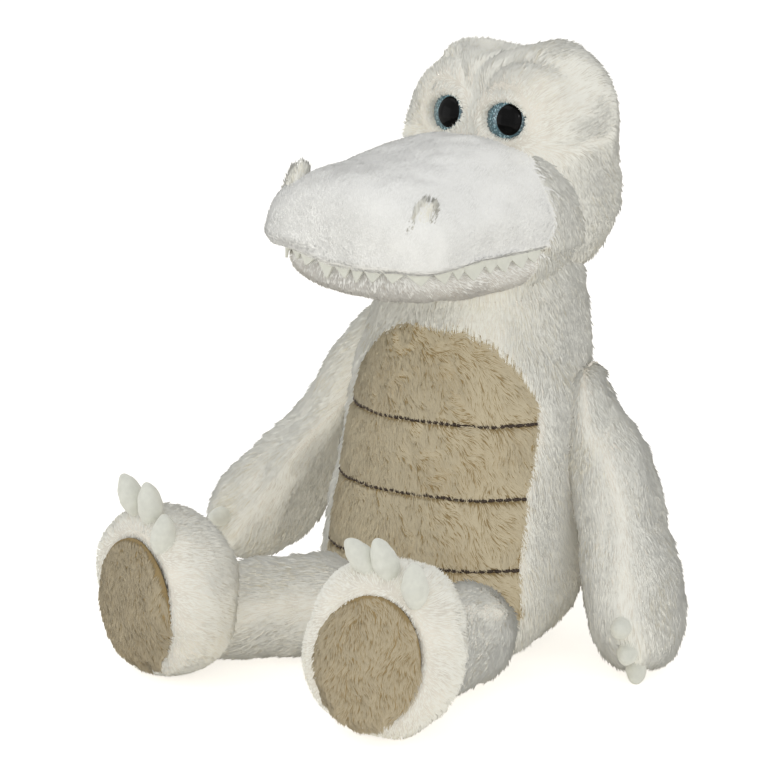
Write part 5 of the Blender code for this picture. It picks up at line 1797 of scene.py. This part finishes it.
class CROC_OT_belly(bpy.types.Operator):
    """Quilted beige belly with its sewn lines"""

    bl_idname = "croc.belly"
    bl_label = "Belly"

    def execute(self, context):
        make_belly()
        return {"FINISHED"}


class CROC_OT_neck(bpy.types.Operator):
    """Cloth and fur of the neck"""

    bl_idname = "croc.neck"
    bl_label = "Neck"

    def execute(self, context):
        make_neck()
        return {"FINISHED"}


class CROC_OT_head(bpy.types.Operator):
    """Cloth and fur of the head"""

    bl_idname = "croc.head"
    bl_label = "Head"

    def execute(self, context):
        make_head()
        return {"FINISHED"}


class CROC_OT_snout(bpy.types.Operator):
    """Cloth and short pile of the snout and jaw"""

    bl_idname = "croc.snout"
    bl_label = "Snout and jaw"

    def execute(self, context):
        make_snout()
        return {"FINISHED"}


class CROC_OT_cheeks(bpy.types.Operator):
    """Long fur of the cheeks over the snout's back"""

    bl_idname = "croc.cheeks"
    bl_label = "Cheeks"

    def execute(self, context):
        make_cheeks()
        return {"FINISHED"}


class CROC_OT_nostrils(bpy.types.Operator):
    """Folded plush nostrils"""

    bl_idname = "croc.nostrils"
    bl_label = "Nostrils"

    def execute(self, context):
        make_nostrils()
        return {"FINISHED"}


class CROC_OT_teeth(bpy.types.Operator):
    """Felt teeth along the mouth"""

    bl_idname = "croc.teeth"
    bl_label = "Teeth"

    def execute(self, context):
        make_teeth()
        return {"FINISHED"}


class CROC_OT_eyes(bpy.types.Operator):
    """Glitter eyes with black pupils"""

    bl_idname = "croc.eyes"
    bl_label = "Eyes"

    def execute(self, context):
        make_eyes()
        return {"FINISHED"}


class CROC_OT_arms(bpy.types.Operator):
    """Cloth, fur and claws of the arms"""

    bl_idname = "croc.arms"
    bl_label = "Arms"

    def execute(self, context):
        make_arms()
        return {"FINISHED"}


class CROC_OT_legs(bpy.types.Operator):
    """Cloth, fur, soles and claws of the legs"""

    bl_idname = "croc.legs"
    bl_label = "Legs"

    def execute(self, context):
        make_legs()
        return {"FINISHED"}


class CROC_OT_tail(bpy.types.Operator):
    """Cloth and fur of the tail"""

    bl_idname = "croc.tail"
    bl_label = "Tail"

    def execute(self, context):
        make_tail()
        return {"FINISHED"}


class CROC_OT_stage(bpy.types.Operator):
    """Floor, lamps and camera"""

    bl_idname = "croc.stage"
    bl_label = "Stage"

    def execute(self, context):
        make_stage()
        return {"FINISHED"}


OPERATORS = (
    CROC_OT_torso, CROC_OT_belly, CROC_OT_neck, CROC_OT_head, CROC_OT_snout, CROC_OT_cheeks,
    CROC_OT_nostrils, CROC_OT_teeth, CROC_OT_eyes, CROC_OT_arms, CROC_OT_legs, CROC_OT_tail,
    CROC_OT_stage,
)


class CROC_PT_pieces(bpy.types.Panel):
    """Lists the pieces of the crocodile."""

    bl_label = "Plush crocodile"
    bl_space_type = "VIEW_3D"
    bl_region_type = "UI"
    bl_category = "Plush crocodile"

    def draw(self, context):
        for piece in OPERATORS:
            self.layout.operator(piece.bl_idname)


GROUPS = {"croc_pile": PileSettings, "croc_colours": ColourSettings, "croc_stage": StageSettings}


def register():
    for group in GROUPS.values():
        bpy.utils.register_class(group)
    for name, group in GROUPS.items():
        setattr(bpy.types.Scene, name, bpy.props.PointerProperty(type=group))
    for made in (*OPERATORS, CROC_PT_pieces):
        bpy.utils.register_class(made)


def unregister():
    for made in (CROC_PT_pieces, *OPERATORS):
        bpy.utils.unregister_class(made)
    for name in GROUPS:
        delattr(bpy.types.Scene, name)
    for group in GROUPS.values():
        bpy.utils.unregister_class(group)


def main():
    register()
    for made in OPERATORS:
        getattr(bpy.ops.croc, made.bl_idname.split(".")[1])()


if __name__ == "__main__":
    main()
